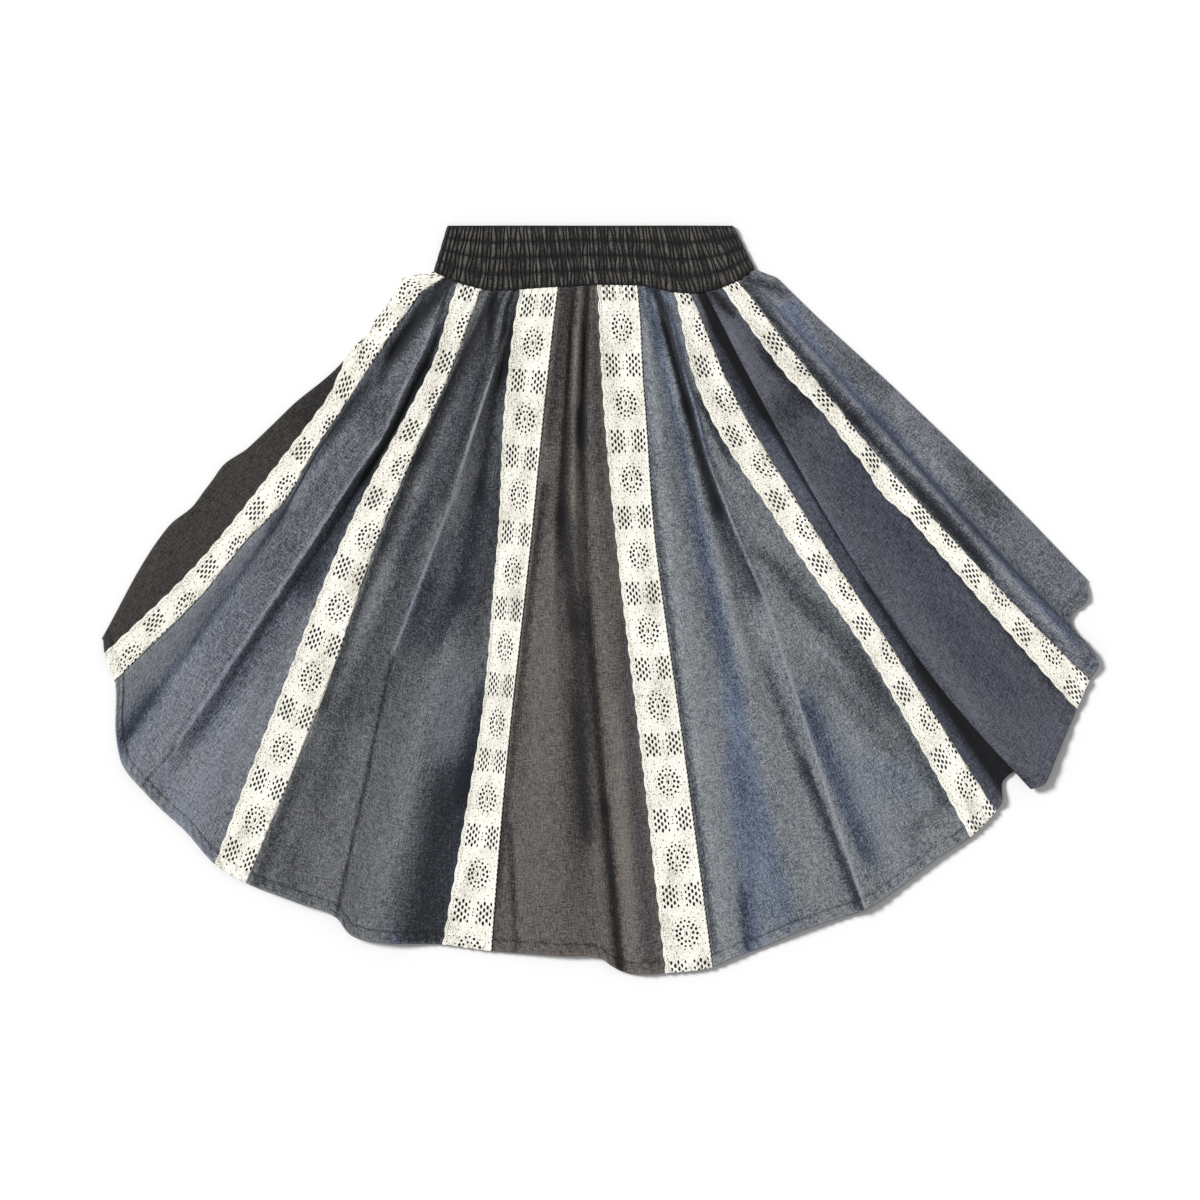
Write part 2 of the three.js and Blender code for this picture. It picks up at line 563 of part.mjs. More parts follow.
// Once round the band, turn 0..1: front from left to right, then the back.
function bandPoint(turn, level, out) {
  const half = BAND_VALLEY / 2 - BAND_LIFT / 2;
  const middle = BAND_VALLEY / 2 + BAND_LIFT / 2;
  const phase = turn * 2;
  const front = phase < 1;
  const side = front ? phase * 2 - 1 : 1 - (phase - 1) * 2;
  // rounded sides: over the last few millimetres the face turns down to the middle
  const room = (1 - Math.abs(side)) * BAND_HALF_WIDTH;
  const bend = Math.min(1, room / half);
  const lift = Math.sqrt(1 - (1 - bend) * (1 - bend));
  const wide = side + Math.sign(side) * (1 - lift) * out / BAND_HALF_WIDTH;
  const point = bandPlan(front, wide, level);
  point.z = middle + (front ? 1 : -1) * lift * (half + out);
  return point;
}

{
  const outer = GATHERS * 4;
  const inner = GATHERS * 2;
  const points = [];
  const triangles = [];
  const put = (p) => points.push(p.x, p.y, p.z) / 3 - 1;
  const outerRing = BAND_LEVELS.map(([level, size, shift]) => {
    const ids = [];
    for (let j = 0; j < outer; j += 1) {
      const ridge = j % 2 === 0 ? 0 : BAND_LIFT * size;
      const toSide = Math.abs(((j / outer) * 2 + 0.5) % 1 - 0.5);
      const near = toSide < SIDE_STILL ? 0 : shift;
      ids.push(put(bandPoint((j + near) / outer, level, ridge)));
    }
    return ids;
  });
  const innerRing = [0, 1].map((level) => {
    const ids = [];
    for (let j = 0; j < inner; j += 1) {
      const step = j / inner;
      ids.push(put(bandPoint(step, level, -WALL)));
    }
    return ids;
  });
  // seen from outside, up is the next level and round is the next column
  for (let k = 0; k < BAND_LEVELS.length - 1; k += 1) {
    for (let j = 0; j < outer; j += 1) {
      const next = (j + 1) % outer;
      const [a, b] = [outerRing[k + 1][j], outerRing[k][j]];
      const [d, c] = [outerRing[k + 1][next], outerRing[k][next]];
      triangles.push(a, b, c, a, c, d);
    }
  }
  for (let j = 0; j < inner; j += 1) {
    const next = (j + 1) % inner;
    const [a, b] = [innerRing[1][j], innerRing[0][j]];
    const [d, c] = [innerRing[1][next], innerRing[0][next]];
    triangles.push(a, c, b, a, d, c);
  }
  // the two rims join the gathered outside to the plain inside
  const rim = (out, inn, flip) => {
    let i = 0;
    let j = 0;
    while (i < outer || j < inner) {
      const takeOuter = j >= inner || (i < outer && (i + 1) / outer <= (j + 1) / inner);
      const a = out[i % outer];
      const b = inn[j % inner];
      const c = takeOuter ? out[(i + 1) % outer] : inn[(j + 1) % inner];
      if (flip) triangles.push(a, b, c);
      else triangles.push(a, c, b);
      if (takeOuter) i += 1;
      else j += 1;
    }
  };
  rim(outerRing[outerRing.length - 1], innerRing[1], false);
  rim(outerRing[0], innerRing[0], true);
  const geometry = new THREE.BufferGeometry();
  geometry.setAttribute('position', new THREE.Float32BufferAttribute(points, 3));
  geometry.setIndex(triangles);
  geometry.computeVertexNormals();
  addPiece('waistband', geometry, CHARCOAL);
}

// ---- origin: middle of the outline, on the ground ------------------------------------
const box = new THREE.Box3().setFromObject(skirt);
skirt.position.set(-(box.min.x + box.max.x) / 2, -(box.min.y + box.max.y) / 2, -box.min.z);
skirt.updateMatrixWorld(true);

export default skirt;
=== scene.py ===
# %% [markdown]
# # A gored skirt laid out flat
# The real skirt is a tube of twelve tapered panels, called gores, cut from denim and
# chambray in greys, blues and brown. A strip of cotton lace is sewn over every seam, and
# the top is gathered into a wide band that is smocked with elastic thread. The model
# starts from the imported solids, which give each piece its place and its box.

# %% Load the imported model
import math
import bmesh
import bpy
import numpy as np
from mathutils import Matrix, Vector


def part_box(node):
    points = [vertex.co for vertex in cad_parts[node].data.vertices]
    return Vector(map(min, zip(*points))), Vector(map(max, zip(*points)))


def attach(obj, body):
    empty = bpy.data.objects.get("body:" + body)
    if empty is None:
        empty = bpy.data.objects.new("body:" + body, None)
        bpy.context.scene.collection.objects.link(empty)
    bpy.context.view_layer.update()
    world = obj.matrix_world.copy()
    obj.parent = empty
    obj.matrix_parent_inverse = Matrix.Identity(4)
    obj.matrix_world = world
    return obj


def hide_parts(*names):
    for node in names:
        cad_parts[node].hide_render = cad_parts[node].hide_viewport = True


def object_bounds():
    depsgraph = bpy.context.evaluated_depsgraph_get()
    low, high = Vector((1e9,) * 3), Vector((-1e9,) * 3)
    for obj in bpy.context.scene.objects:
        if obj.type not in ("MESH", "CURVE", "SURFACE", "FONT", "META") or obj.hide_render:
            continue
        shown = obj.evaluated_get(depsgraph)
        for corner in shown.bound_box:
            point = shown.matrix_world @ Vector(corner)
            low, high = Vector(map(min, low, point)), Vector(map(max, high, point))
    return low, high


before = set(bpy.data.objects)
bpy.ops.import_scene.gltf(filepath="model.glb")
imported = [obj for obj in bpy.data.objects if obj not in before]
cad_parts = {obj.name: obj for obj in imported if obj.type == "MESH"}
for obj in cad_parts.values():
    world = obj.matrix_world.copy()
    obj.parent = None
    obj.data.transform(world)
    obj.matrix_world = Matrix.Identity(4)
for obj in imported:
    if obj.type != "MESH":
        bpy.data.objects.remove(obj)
cad_low, cad_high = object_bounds()
print("solids:", len(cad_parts), "box:", [round(x, 4) for x in (*cad_low, *cad_high)])

# %% [markdown]
# ## The camera
# The skirt is shown from straight above. A long lens from six metres up keeps the view
# almost free of perspective, as a product view is, so lines stay the length that they are.

# %% Put the camera above the skirt
CAMERA_HEIGHT = 6.0
VIEW_WIDTH = 1.26
SENSOR = 36.0


def add_object(name, data):
    made = bpy.data.objects.new(name, data)
    bpy.context.scene.collection.objects.link(made)
    return made


camera_data = bpy.data.cameras.new("camera")
camera_data.sensor_width = SENSOR
camera_data.lens = SENSOR * CAMERA_HEIGHT / VIEW_WIDTH
camera = add_object("camera", camera_data)
camera.location = (0, 0, CAMERA_HEIGHT)
bpy.context.scene.camera = camera
print("lens:", round(camera_data.lens, 1), "mm")

# %% [markdown]
# ## The lines of the skirt
# A gored skirt is drawn as a fan. Every seam, lace edge and fold is one line from the
# waist to the hem, known by its bearing round a pole above the waist (degrees from
# straight down, plus to the right) and its height in millimetres at five stations. A
# modelled mesh could be pushed about by hand instead, but lines keep the seams straight
# and let the lace, the hem and the stitching follow the same cloth.

# %% Draw the lines of the front and the back
MM = 0.001
FLAT_FRONT = 4.4             # height of the front layer's face at the side folds
BACK_LIFT = 1.35             # height of the back cloth over a back lace strip
BACK_GATHER = 0.55           # how much of its width a back lace keeps at the waist
BACK_LAY = 5.0               # length of the slope up to a back lace
LACE_WIDTH = 45.0
SEAM_NUMBERS = range(1, 7)   # from left to right, or from right to left at the back
STATIONS = np.array([0, 0.15, 0.4, 0.7, 1])
# bearing and radius of the waist seam
WAIST = np.array([
    [-48, 262], [-42, 257], [-30, 242], [-20, 223], [-11, 211], [0, 205],
    [11.6, 210], [25, 236], [36.6, 249], [42, 250], [48, 250]])
# kind, name, bearing at the stations, hem radius, height at the stations
FRONT = [
    ("turn", "left", (-47.2, -43.9, -44.1, -44.6, -42.1), 776, (4.4, 4.4, 4.4, 4.4, 4.4)),
    ("edge", "lace 1", (-46.0, -43.0, -40.9, -40.2, -41.2), 785, (6, 5.4, 6, 6, 5.6)),
    ("seam", "seam 1", (-41.3, -39.9, -38.2, -37.9, -39.2), 801, (6.2, 6.8, 6.8, 6.2, 5.8)),
    ("fold", "pocket", (-40.3, -37.9, -37.4, -36.6, -36.7), 845, (5.4, 4.8, 5, 5, 4.6)),
    ("fold", "ridge 1", (-39.1, -36.2, -35.5, -35.4, -35.1), 866, (9, 12, 11, 10, 7.5)),
    ("fold", "crease 1", (-37.7, -33.2, -32.0, -32.3, -32.7), 877, (10, 13, 14.5, 12, 8.5)),
    ("fold", "hollow 1", (-36.9, -32.1, -31.2, -31.5, -31.4), 882, (5.6, 4.8, 4.6, 5.6, 6)),
    ("fold", "wave 1", (-36.4, -31.6, -30.6, -29.8, -29.0), 890, (5.8, 5.6, 5.8, 8.4, 7.2)),
    ("edge", "lace 2", (-35.9, -31.0, -29.9, -27.8, -26.3), 906, (6, 6.4, 6.4, 6.2, 5.8)),
    ("seam", "seam 2", (-29.9, -27.3, -26.1, -24.2, -23.8), 910, (6.4, 7, 6.8, 6.4, 6)),
    ("fold", "hollow 2a", (-28.9, -26.4, -25.3, -23.5, -23.0), 910, (5.6, 5.2, 5.6, 5.8, 5.6)),
    ("fold", "ridge 2a", (-27.2, -23.7, -22.5, -21.8, -21.5), 909, (9, 11.5, 10.5, 10, 8)),
    ("fold", "dip 2", (-24.8, -21.3, -20.6, -20.4, -20.1), 909, (8, 9.2, 9.6, 9.4, 7.8)),
    ("fold", "crease 2", (-23.8, -20.1, -19.6, -19.1, -17.6), 910, (11, 14.5, 13.5, 11.5, 9)),
    ("fold", "hollow 2b", (-22.7, -18.6, -15.3, -16.2, -16.2), 924, (6, 5.8, 5.6, 8.2, 8.6)),
    ("fold", "ridge 2b", (-21.9, -17.9, -13.7, -14.3, -14.0), 922, (6.6, 7, 8.6, 11.5, 11)),
    ("edge", "lace 3", (-21.2, -17.2, -12.4, -10.4, -10.3), 911, (6.2, 7, 7, 5.8, 5.4)),
    ("seam", "seam 3", (-11.2, -9.7, -8.3, -7.7, -7.0), 910, (6.4, 7, 6.8, 6.2, 5.8)),
    ("fold", "ridge 3a", (-8.8, -7.7, -6.6, -5.4, -5.0), 909, (8, 9, 9.4, 9.2, 7)),
    ("fold", "ridge 3b", (-7.4, -6.4, -5.4, -3.2, -2.2), 909, (8.6, 9.4, 9.8, 10, 9)),
    ("fold", "hollow 3a", (-6.2, -5.3, -4.2, -1.4, 0.2), 911, (5.8, 5.4, 5.4, 6.4, 7.6)),
    ("fold", "ridge 3c", (-4.6, -4.2, -2.6, -0.5, 1.0), 920, (9, 11, 11, 9, 9.4)),
    ("fold", "hollow 3b", (-3.0, -2.7, -1.4, 0.6, 1.9), 927, (5.6, 4.6, 4.8, 5, 4.8)),
    ("fold", "ridge 3d", (-1.5, -1.0, 0.6, 2.1, 3.2), 929, (8, 9.2, 9.4, 8.8, 8)),
    ("edge", "lace 4", (0, 0.9, 2.5, 3.8, 4.4), 929, (6.4, 7, 7, 6.6, 6.2)),
    ("seam", "seam 4", (11.6, 8.9, 7.3, 7.5, 7.5), 928, (6.4, 7, 7, 6.6, 6.2)),
    ("fold", "ridge 4a", (12.8, 11.0, 9.9, 9.4, 9.0), 921, (9, 11.5, 11, 10, 8)),
    ("fold", "hollow 4a", (14.1, 13.6, 12.9, 11.9, 10.6), 917, (7, 7.4, 6.8, 6.8, 5)),
    ("fold", "ridge 4b", (15.2, 14.9, 14.5, 14.4, 13.6), 908, (9, 11, 10.5, 9, 8)),
    ("fold", "hollow 4b", (16.6, 16.1, 16.4, 16.6, 17.0), 905, (5.2, 4.8, 5, 6.4, 6.4)),
    ("fold", "crease 4", (18.1, 17.2, 17.3, 17.9, 18.1), 905, (9, 12, 12, 10, 9.6)),
    ("fold", "slope 4", (19.4, 17.7, 19.4, 20.9, 21.4), 892, (7.4, 8.4, 8.8, 7.6, 7)),
    ("fold", "wave 4", (20.1, 18.0, 21.0, 23.4, 24.0), 881, (6.6, 7.4, 8.2, 8.8, 8)),
    ("edge", "lace 5", (20.7, 18.5, 22.5, 25.8, 26.5), 876, (6.2, 6.8, 6.8, 6.4, 6)),
    ("seam", "seam 5", (24.8, 24.2, 26.1, 28.0, 29.0), 864, (6.2, 6.8, 6.6, 6.4, 6)),
    ("fold", "brink", (25.5, 26.0, 27.5, 28.9, 29.6), 859, (7.2, 8.4, 8.2, 8.2, 8)),
    ("tuck", "foot", (26.7, 27.1, 28.3, 29.7, 30.4), 841, (4.6, 4.5, 4.5, 4.5, 4.5)),
    ("tuck", "tuck low", (29.3, 29.2, 29.5, 30.9, 33.0), 836, (4.5, 4.4, 4.4, 4.4, 4.4)),
    ("tuck", "tuck high", (29.3, 29.2, 29.5, 30.9, 33.0), 836, (5.2, 5.1, 5.1, 5.1, 5.1)),
    ("tuck", "flap low", (28.2, 27.9, 28.2, 29.4, 31.8), 863, (6.2, 6.8, 6.8, 6.8, 6.8)),
    ("tuck", "flap high", (28.2, 27.9, 28.2, 29.4, 31.8), 863, (9.2, 10, 10, 10, 10)),
    ("tuck", "flap back", (29.5, 29.3, 29.6, 30.9, 32.8), 866, (9.4, 12.2, 12, 12, 10.6)),
    ("fold", "flap slope", (30.8, 30.8, 31.9, 33.4, 35.0), 845, (8.4, 9.4, 9.2, 9.6, 8.6)),
    ("edge", "lace 6", (32.2, 33.0, 35.3, 36.7, 37.7), 822, (6.2, 6.8, 6.6, 6.4, 6)),
    ("seam", "seam 6", (36.6, 36.9, 37.5, 38.7, 39.9), 806, (6.2, 6.8, 6.6, 6.4, 6)),
    ("fold", "hollow 6", (37.2, 37.8, 38.4, 39.3, 40.4), 804, (5.4, 5.2, 5.4, 5.8, 5.8)),
    ("fold", "ridge 6", (38.4, 39.0, 39.5, 40.2, 41.1), 800, (8, 10.5, 10.5, 10.5, 9)),
    ("fold", "foot 6", (39.4, 40.2, 40.9, 41.3, 41.9), 744, (5.6, 5.4, 5, 4.8, 4.6)),
    ("fold", "wave 6", (41.0, 42.2, 43.0, 43.6, 43.9), 742, (6, 6.4, 6.2, 5.8, 5.4)),
    ("turn", "right", (43.6, 44.0, 44.9, 45.2, 45.0), 727, (4.4, 4.4, 4.4, 4.4, 4.4)),
]
# where a line swings aside, as at the elbow of a fold: name, v, degrees to the right, reach
BENDS = [
    ("left", 0.27, 0.8, 0.13), ("left", 0.18, 0.7, 0.03), ("left", 0.57, -0.5, 0.06),
    ("left", 0.68, 0.4, 0.06), ("seam 1", 0.52, 0.8, 0.14), ("pocket", 0.52, 0.7, 0.14),
    ("ridge 1", 0.28, 0.4, 0.1), ("crease 1", 0.28, 0.7, 0.09), ("hollow 1", 0.28, 0.7, 0.1),
    ("wave 1", 0.28, 0.3, 0.1), ("crease 4", 0.27, -0.5, 0.09), ("slope 4", 0.27, -0.7, 0.1),
    ("crease 4", 0.52, 0.4, 0.09), ("lace 6", 0.28, 0.5, 0.09), ("lace 6", 0.47, -0.6, 0.08),
]
# kind, name, waist bearing, hem bearing, from right to left
BACK = [
    ("plain", "", 38.5, 42.4),
    ("seam", "back seam 1", 31.5, 34.5), ("plain", "", 28.6, 29.2),
    ("seam", "back seam 2", 19, 20.5), ("plain", "", 16, 15.5),
    ("seam", "back seam 3", 6.5, 7), ("plain", "", 3.4, 2),
    ("seam", "back seam 4", -6.5, -7), ("plain", "", -9.6, -12),
    ("seam", "back seam 5", -19, -20.5), ("plain", "", -22, -25.5),
    ("seam", "back seam 6", -31, -33.5), ("plain", "", -36.5, -38.2),
]
# bearing and radius of the hem of the back
BACK_HEM = np.array([
    [-44, 768], [-38.2, 806], [-33.5, 862], [-25.5, 896], [-12, 902], [2, 902],
    [15.5, 896], [20.5, 886], [29.2, 842], [34.5, 836], [38, 802], [41, 744], [46, 728]])
BAND_TOP_LEFT, BAND_TOP_RIGHT, BAND_TOP_Y = -157.5, 142.8, -142.8
REACH_LEFT = 520.26          # from the pole to the left end of the skirt

pole = Vector((cad_low.x + REACH_LEFT * MM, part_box("waistband")[1].y - BAND_TOP_Y * MM, 0))
print("front lines:", len(FRONT), "pole:", [round(x, 4) for x in pole])

# %% [markdown]
# ## One sheet from many lines
# Between the stations a value glides without passing its neighbours, so no line swings
# wide. The columns of all lines then stand in one ring round the skirt: the left side
# fold, the front, the right side fold and the back.

# %% Stand the columns in a ring
MOST_BENDS = 4
SIDE_STEPS = (-90, -45, 0, 45, 90)   # degrees at the columns of a side fold


def hermite(t, start, leaving, end, arriving):
    """A curve from start to end as t goes from 0 to 1, with its slope at both."""
    return ((2 * t**3 - 3 * t**2 + 1) * start + (t**3 - 2 * t**2 + t) * leaving
            + (3 * t**2 - 2 * t**3) * end + (t**3 - t**2) * arriving)


def even_slope(before, after):
    """The slope where two slopes meet: near the gentler one, and 0 at a peak."""
    same_way = before * after > 0
    return np.where(same_way, 2 * before * after / np.where(same_way, before + after, 1), 0)


def glide(stations, values, at):
    """A smooth value between stations. values has a row for each place in at."""
    values = np.broadcast_to(values, (*at.shape, len(stations)))
    slopes = np.diff(values, axis=-1) / np.diff(stations)
    inner = even_slope(slopes[..., :-1], slopes[..., 1:])
    tangents = np.concatenate([slopes[..., :1], inner, slopes[..., -1:]], axis=-1)
    left = np.searchsorted(stations[1:-1], at)
    pick = lambda table, i: np.take_along_axis(table, i[..., None], axis=-1)[..., 0]
    gap = stations[left + 1] - stations[left]
    return hermite((at - stations[left]) / gap, pick(values, left), gap * pick(tangents, left),
                   pick(values, left + 1), gap * pick(tangents, left + 1))


def soft_step(t):
    t = np.clip(t, 0, 1)
    return t * t * (3 - 2 * t)


def radius_at(table, bearing):
    return glide(table[:, 0], table[:, 1], np.asarray(bearing, float))


ring = []                    # kind, name, bearings, hem, heights, aside, turned height, bends
place = {}                   # the column of each line


def add_column(kind, name, bearings, hem, heights, aside=0.0, turned=-1.0):
    place.setdefault(name, len(ring))
    bends = [bend[1:] for bend in BENDS if bend[0] == name]
    bends += [(0.0, 0.0, 1.0)] * (MOST_BENDS - len(bends))
    ring.append((kind, name, bearings, hem, heights, aside, turned, bends))


def add_side_fold(line, side):
    """A half turn of the cloth from one layer to the other."""
    half = FLAT_FRONT / 2
    for step in SIDE_STEPS:
        angle = math.radians(-side * step)
        aside = side * half * (math.cos(angle) - 1)
        add_column("turn", *line[1:], aside, half + half * math.sin(angle))


def add_back(kind, name, waist, hem):
    """A seam of the back has a slope up to its lace, the lace's two edges and a slope down."""
    lays = [(0.0, 0.0)]
    if kind == "seam":
        lays = [(LACE_WIDTH + BACK_LAY, 0.0), (LACE_WIDTH, BACK_LIFT), (0.0, BACK_LIFT),
                (-BACK_LAY, 0.0)]
    for shift, height in lays:
        high = waist + math.degrees(shift * BACK_GATHER / float(radius_at(WAIST, waist)))
        low = hem + math.degrees(shift / float(radius_at(BACK_HEM, hem)))
        if kind == "seam" and shift == 0:
            place[name] = len(ring)
        add_column("back", f"{name} {shift}", (high, low, 0, 0, 0), 0, (height,) * 5)


add_side_fold(FRONT[0], -1)
for line in FRONT[1:-1]:
    add_column(*line)
add_side_fold(FRONT[-1], 1)
first_back = len(ring)
for row in BACK:
    add_back(*row)
COLUMNS = len(ring)
ring_kind, ring_name, *numbers = zip(*ring)
ring_kind = np.array(ring_kind)
ring_sharp = np.char.startswith(ring_name, "crease")
ring_bearings, ring_hem, ring_heights, ring_aside, ring_turned, ring_bends = (
    np.array(part, float) for part in numbers)
print("columns:", COLUMNS, "first of the back:", first_back)

# %% [markdown]
# ## Points on the cloth
# A place on the skirt is u, which counts columns round it, and v, which runs from the
# waist at 0 to the hem at 1. Near the waist the sides are drawn in to the band, and folds
# rise out of the seam over the first centimetres, as gathered cloth does.

# %% Find any point on the cloth
DRAWN_LIMIT = 36.0           # bearing past which the sides are drawn in at the waist
DRAWN_KEEP = (0.54, 0.71)    # what is left of the rest, on the left and on the right
DRAWN_UNTIL = 0.045
RISEN_BY = 0.07
WAIST_HEIGHT = FLAT_FRONT + 1.4
WAIST_SHARE = 0.25           # how much of its height a fold has at the waist
ROUNDED = 0.35               # how much of a pressed crease is rounded off


def drawn_in(bearing, v):
    pull = np.clip(1 - v / DRAWN_UNTIL, 0, None)
    keep = np.where(bearing < 0, *DRAWN_KEEP)
    size = DRAWN_LIMIT + (np.abs(bearing) - DRAWN_LIMIT) * (1 + (keep - 1) * pull)
    return np.where(np.abs(bearing) < DRAWN_LIMIT, bearing, np.sign(bearing) * size)


def polar(bearing, radius, height):
    a = np.radians(bearing)
    return np.stack([radius * np.sin(a), -radius * np.cos(a), height], axis=-1)


def column_point(k, v):
    """The point of column k at v, in millimetres from the pole."""
    at, degrees, reach = np.moveaxis(ring_bends[k], -1, 0)
    swing = (degrees * soft_step(1 - np.abs(v[..., None] - at) / reach)).sum(axis=-1)
    bearing = drawn_in(glide(STATIONS, ring_bearings[k], v) + swing, v)
    middle = np.maximum(radius_at(WAIST, bearing) * (1 - v) + ring_hem[k] * v, 1)
    bearing = bearing + np.degrees(ring_aside[k] / middle)
    radius = radius_at(WAIST, bearing) * (1 - v) + ring_hem[k] * v
    height = glide(STATIONS, ring_heights[k], v)
    low = WAIST_HEIGHT + (height - WAIST_HEIGHT) * WAIST_SHARE
    risen = low + (height - low) * soft_step(v / RISEN_BY)
    height = np.where(ring_kind[k] == "fold", risen, height)
    height = np.where(ring_turned[k] >= 0, ring_turned[k], height)
    front = polar(bearing, radius, height)
    waist_bearing, hem_bearing, *_ = np.moveaxis(ring_bearings[k], -1, 0)
    lift = ring_heights[k, 0]
    top = polar(waist_bearing, radius_at(WAIST, waist_bearing), lift)
    hem = polar(hem_bearing, radius_at(BACK_HEM, hem_bearing), lift)
    back = top * (1 - v)[..., None] + hem * v[..., None]
    return np.where((ring_kind[k] != "back")[..., None], front, back)


def unit(vector):
    size = np.linalg.norm(vector, axis=-1, keepdims=True)
    return vector / np.maximum(size, 1e-9)


def tangent(before, here, after, k, ahead):
    """The way the cloth runs through a column. A tuck or a side fold turns tightly."""
    back, on = here - before, after - here
    own = on if ahead else back
    shorter = np.minimum(np.linalg.norm(back, axis=-1), np.linalg.norm(on, axis=-1))
    tight = unit(unit(back) + unit(on)) * shorter[..., None]
    flat = lambda d: np.maximum(np.hypot(d[..., 0], d[..., 1]), 1e-6)
    plan = unit(back[..., :2] / flat(back)[..., None] + on[..., :2] / flat(on)[..., None])
    rise = even_slope(back[..., 2] / flat(back), on[..., 2] / flat(on))
    pressed = ROUNDED * rise + (1 - ROUNDED) * own[..., 2] / flat(own)
    rise = np.where(ring_sharp[k], pressed, rise)
    easy = np.concatenate([plan, rise[..., None]], axis=-1) * flat(own)[..., None]
    turning = np.isin(ring_kind[k], ("tuck", "turn"))
    return np.where(turning[..., None], tight, easy)


def bare_cloth(u, v):
    u = np.asarray(u, float) % COLUMNS
    k = np.floor(u).astype(int) % COLUMNS
    p0, p1, p2, p3 = (column_point((k + i) % COLUMNS, v) for i in (-1, 0, 1, 2))
    return hermite((u - np.floor(u))[..., None], p1, tangent(p0, p1, p2, k, True),
                   p2, tangent(p1, p2, p3, (k + 1) % COLUMNS, False))


every = np.arange(COLUMNS)
ring_length = np.linalg.norm(
    column_point(every, np.ones(COLUMNS)) - column_point(every, np.zeros(COLUMNS)), axis=1)


def line_length(u):
    """Millimetres from waist to hem at column u."""
    return np.interp(u, np.arange(COLUMNS + 1), np.append(ring_length, ring_length[0]))


print("lines are", ring_length.min().round(), "to", ring_length.max().round(), "mm long")

# %% [markdown]
# ## Creases, gathers and the turned hem
# Cloth that was worn and then laid out keeps small marks on top of its folds. Each crease
# here is a soft ridge or trough between two places, given with its own depth and width.
# The waist seam sinks between the band and the skirt, with fine gathers under it, and the
# hem is turned up 12 mm, where the doubled cloth pulls into slanting ropes.

# %% Add the small relief
HEM_TURN = 12.0
# bearing and hundredths of the way down at one end, at the other, height, half width
CREASES = [
    (-40.6, 3, -38.4, 16, 1.5, 3), (-38.2, 3, -37.4, 13, -2.2, 4), (-38.6, 12, -36.4, 21, -1.8, 3),
    (-37.6, 15, -35, 13, 1, 4), (-34.6, 4, -33, 17, 1.2, 3), (-33, 17, -31.8, 28, 0.8, 3),
    (-36.3, 44, -36, 80, -0.9, 2), (-36.5, 10, -34.2, 62, -0.8, 4), (-32.8, 60, -33.4, 96, 0.5, 2),
    (-31.6, 20, -30.8, 42, -1.2, 4), (-30.2, 45, -27.8, 98, -0.8, 6), (-28.3, 1, -23.6, 7, 1.4, 3),
    (-27.9, 3, -23.8, 10, -1.5, 3), (-23.4, 7, -21.4, 30, 1.2, 3), (-24.2, 12, -22.5, 50, -1, 4),
    (-21.9, 20, -21.2, 85, 0.6, 5), (-20.4, 8, -19.4, 33, 0.7, 1.6),
    (-19.4, 33, -19.9, 62, 0.7, 1.6), (-19.9, 60, -17.6, 94, -0.8, 2),
    (-19, 12, -15.2, 42, -0.9, 4), (-15.2, 38, -15.6, 60, -1, 4), (-17.6, 55, -15, 95, -0.7, 7),
    (-12.9, 55, -12.6, 98, 0.6, 6), (-9.6, 2, -8.8, 14, 0.9, 3), (-7.6, 2, -5.6, 10, -1.2, 3),
    (-5.5, 6, -4.6, 30, 1, 3), (-2.9, 4, -2.5, 22, -1.6, 2.6), (-3.4, 19, -2.4, 23, -1, 2.6),
    (-2.5, 22, -0.8, 50, -0.7, 2.5), (-6, 30, -5.8, 90, -0.5, 5), (-6.8, 82, -5.4, 100, -0.7, 2),
    (-4, 4, -1.9, 40, 0.8, 3), (1.8, 35, 2.6, 95, 0.6, 5), (9.6, 20, 8.6, 95, 0.6, 5),
    (12, 10, 11.4, 60, -0.8, 4), (15.2, 2, 16.6, 9, -1.8, 4), (15.8, 20, 15.6, 85, -0.7, 6),
    (18.3, 2, 17.2, 12, 0.9, 2), (17.2, 12, 16.6, 27, 0.8, 1.6), (16.6, 27, 18.2, 50, 0.8, 1.6),
    (18.2, 50, 18.1, 98, 0.7, 1.6), (19, 42, 23.4, 62, -0.8, 4), (19, 30, 20, 95, 0.7, 6),
    (20.5, 62, 24, 78, -0.6, 5), (23, 92, 26.2, 90, -0.9, 4), (28.9, 20, 33.6, 24, -0.9, 5),
    (31.2, 25, 33.2, 95, -0.7, 6), (29.2, 3, 30.6, 4, -1.4, 3), (33.5, 35, 36, 98, 0.7, 5),
    (37.4, 4, 42.6, 9, -1.2, 3), (37.6, 1, 43, 5, 1, 3), (39.6, 10, 40.4, 90, 0.7, 3),
    (40.8, 12, 41, 80, -0.6, 4), (42.4, 20, 43.8, 85, -0.6, 4), (41.8, 30, 44.2, 33, 0.7, 4),
    (42.2, 50, 44.4, 44, 0.6, 4), (43, 28, 42.4, 76, 0.7, 3), (-42.8, 55, -43.6, 72, -1, 3),
    (-42.6, 35, -43.4, 50, 0.9, 3), (-41.9, 60, -42.6, 80, 0.7, 4),
]
BACK_CREASES = [
    (33, 15, 36.5, 80, 0.9, 9), (24, 5, 25.5, 55, 1, 8), (12, 20, 10.5, 95, 0.8, 9),
    (0.5, 5, -2.5, 60, 1, 8), (-13, 30, -16.5, 95, 0.9, 10), (-25, 10, -29.5, 70, 1, 8),
    (-34.5, 25, -36.5, 90, 0.8, 8),
]
CHART_HEM = 900.0            # radius of the hem that charted lines are measured to
WAIST_MIDDLE = 215.0         # radius of the waist that the gathers are counted along
SEAM_DEPTH, SEAM_REACH = 1.3, 2.6
GATHER_PITCH, GATHER_REACH = 7.2, 22.0
ROPE_PITCH, ROPE_HEIGHT = 10.5, 0.6
DOUBLED = 0.55               # how far the turned part of the hem stands up
EDGE_DROP = 0.5
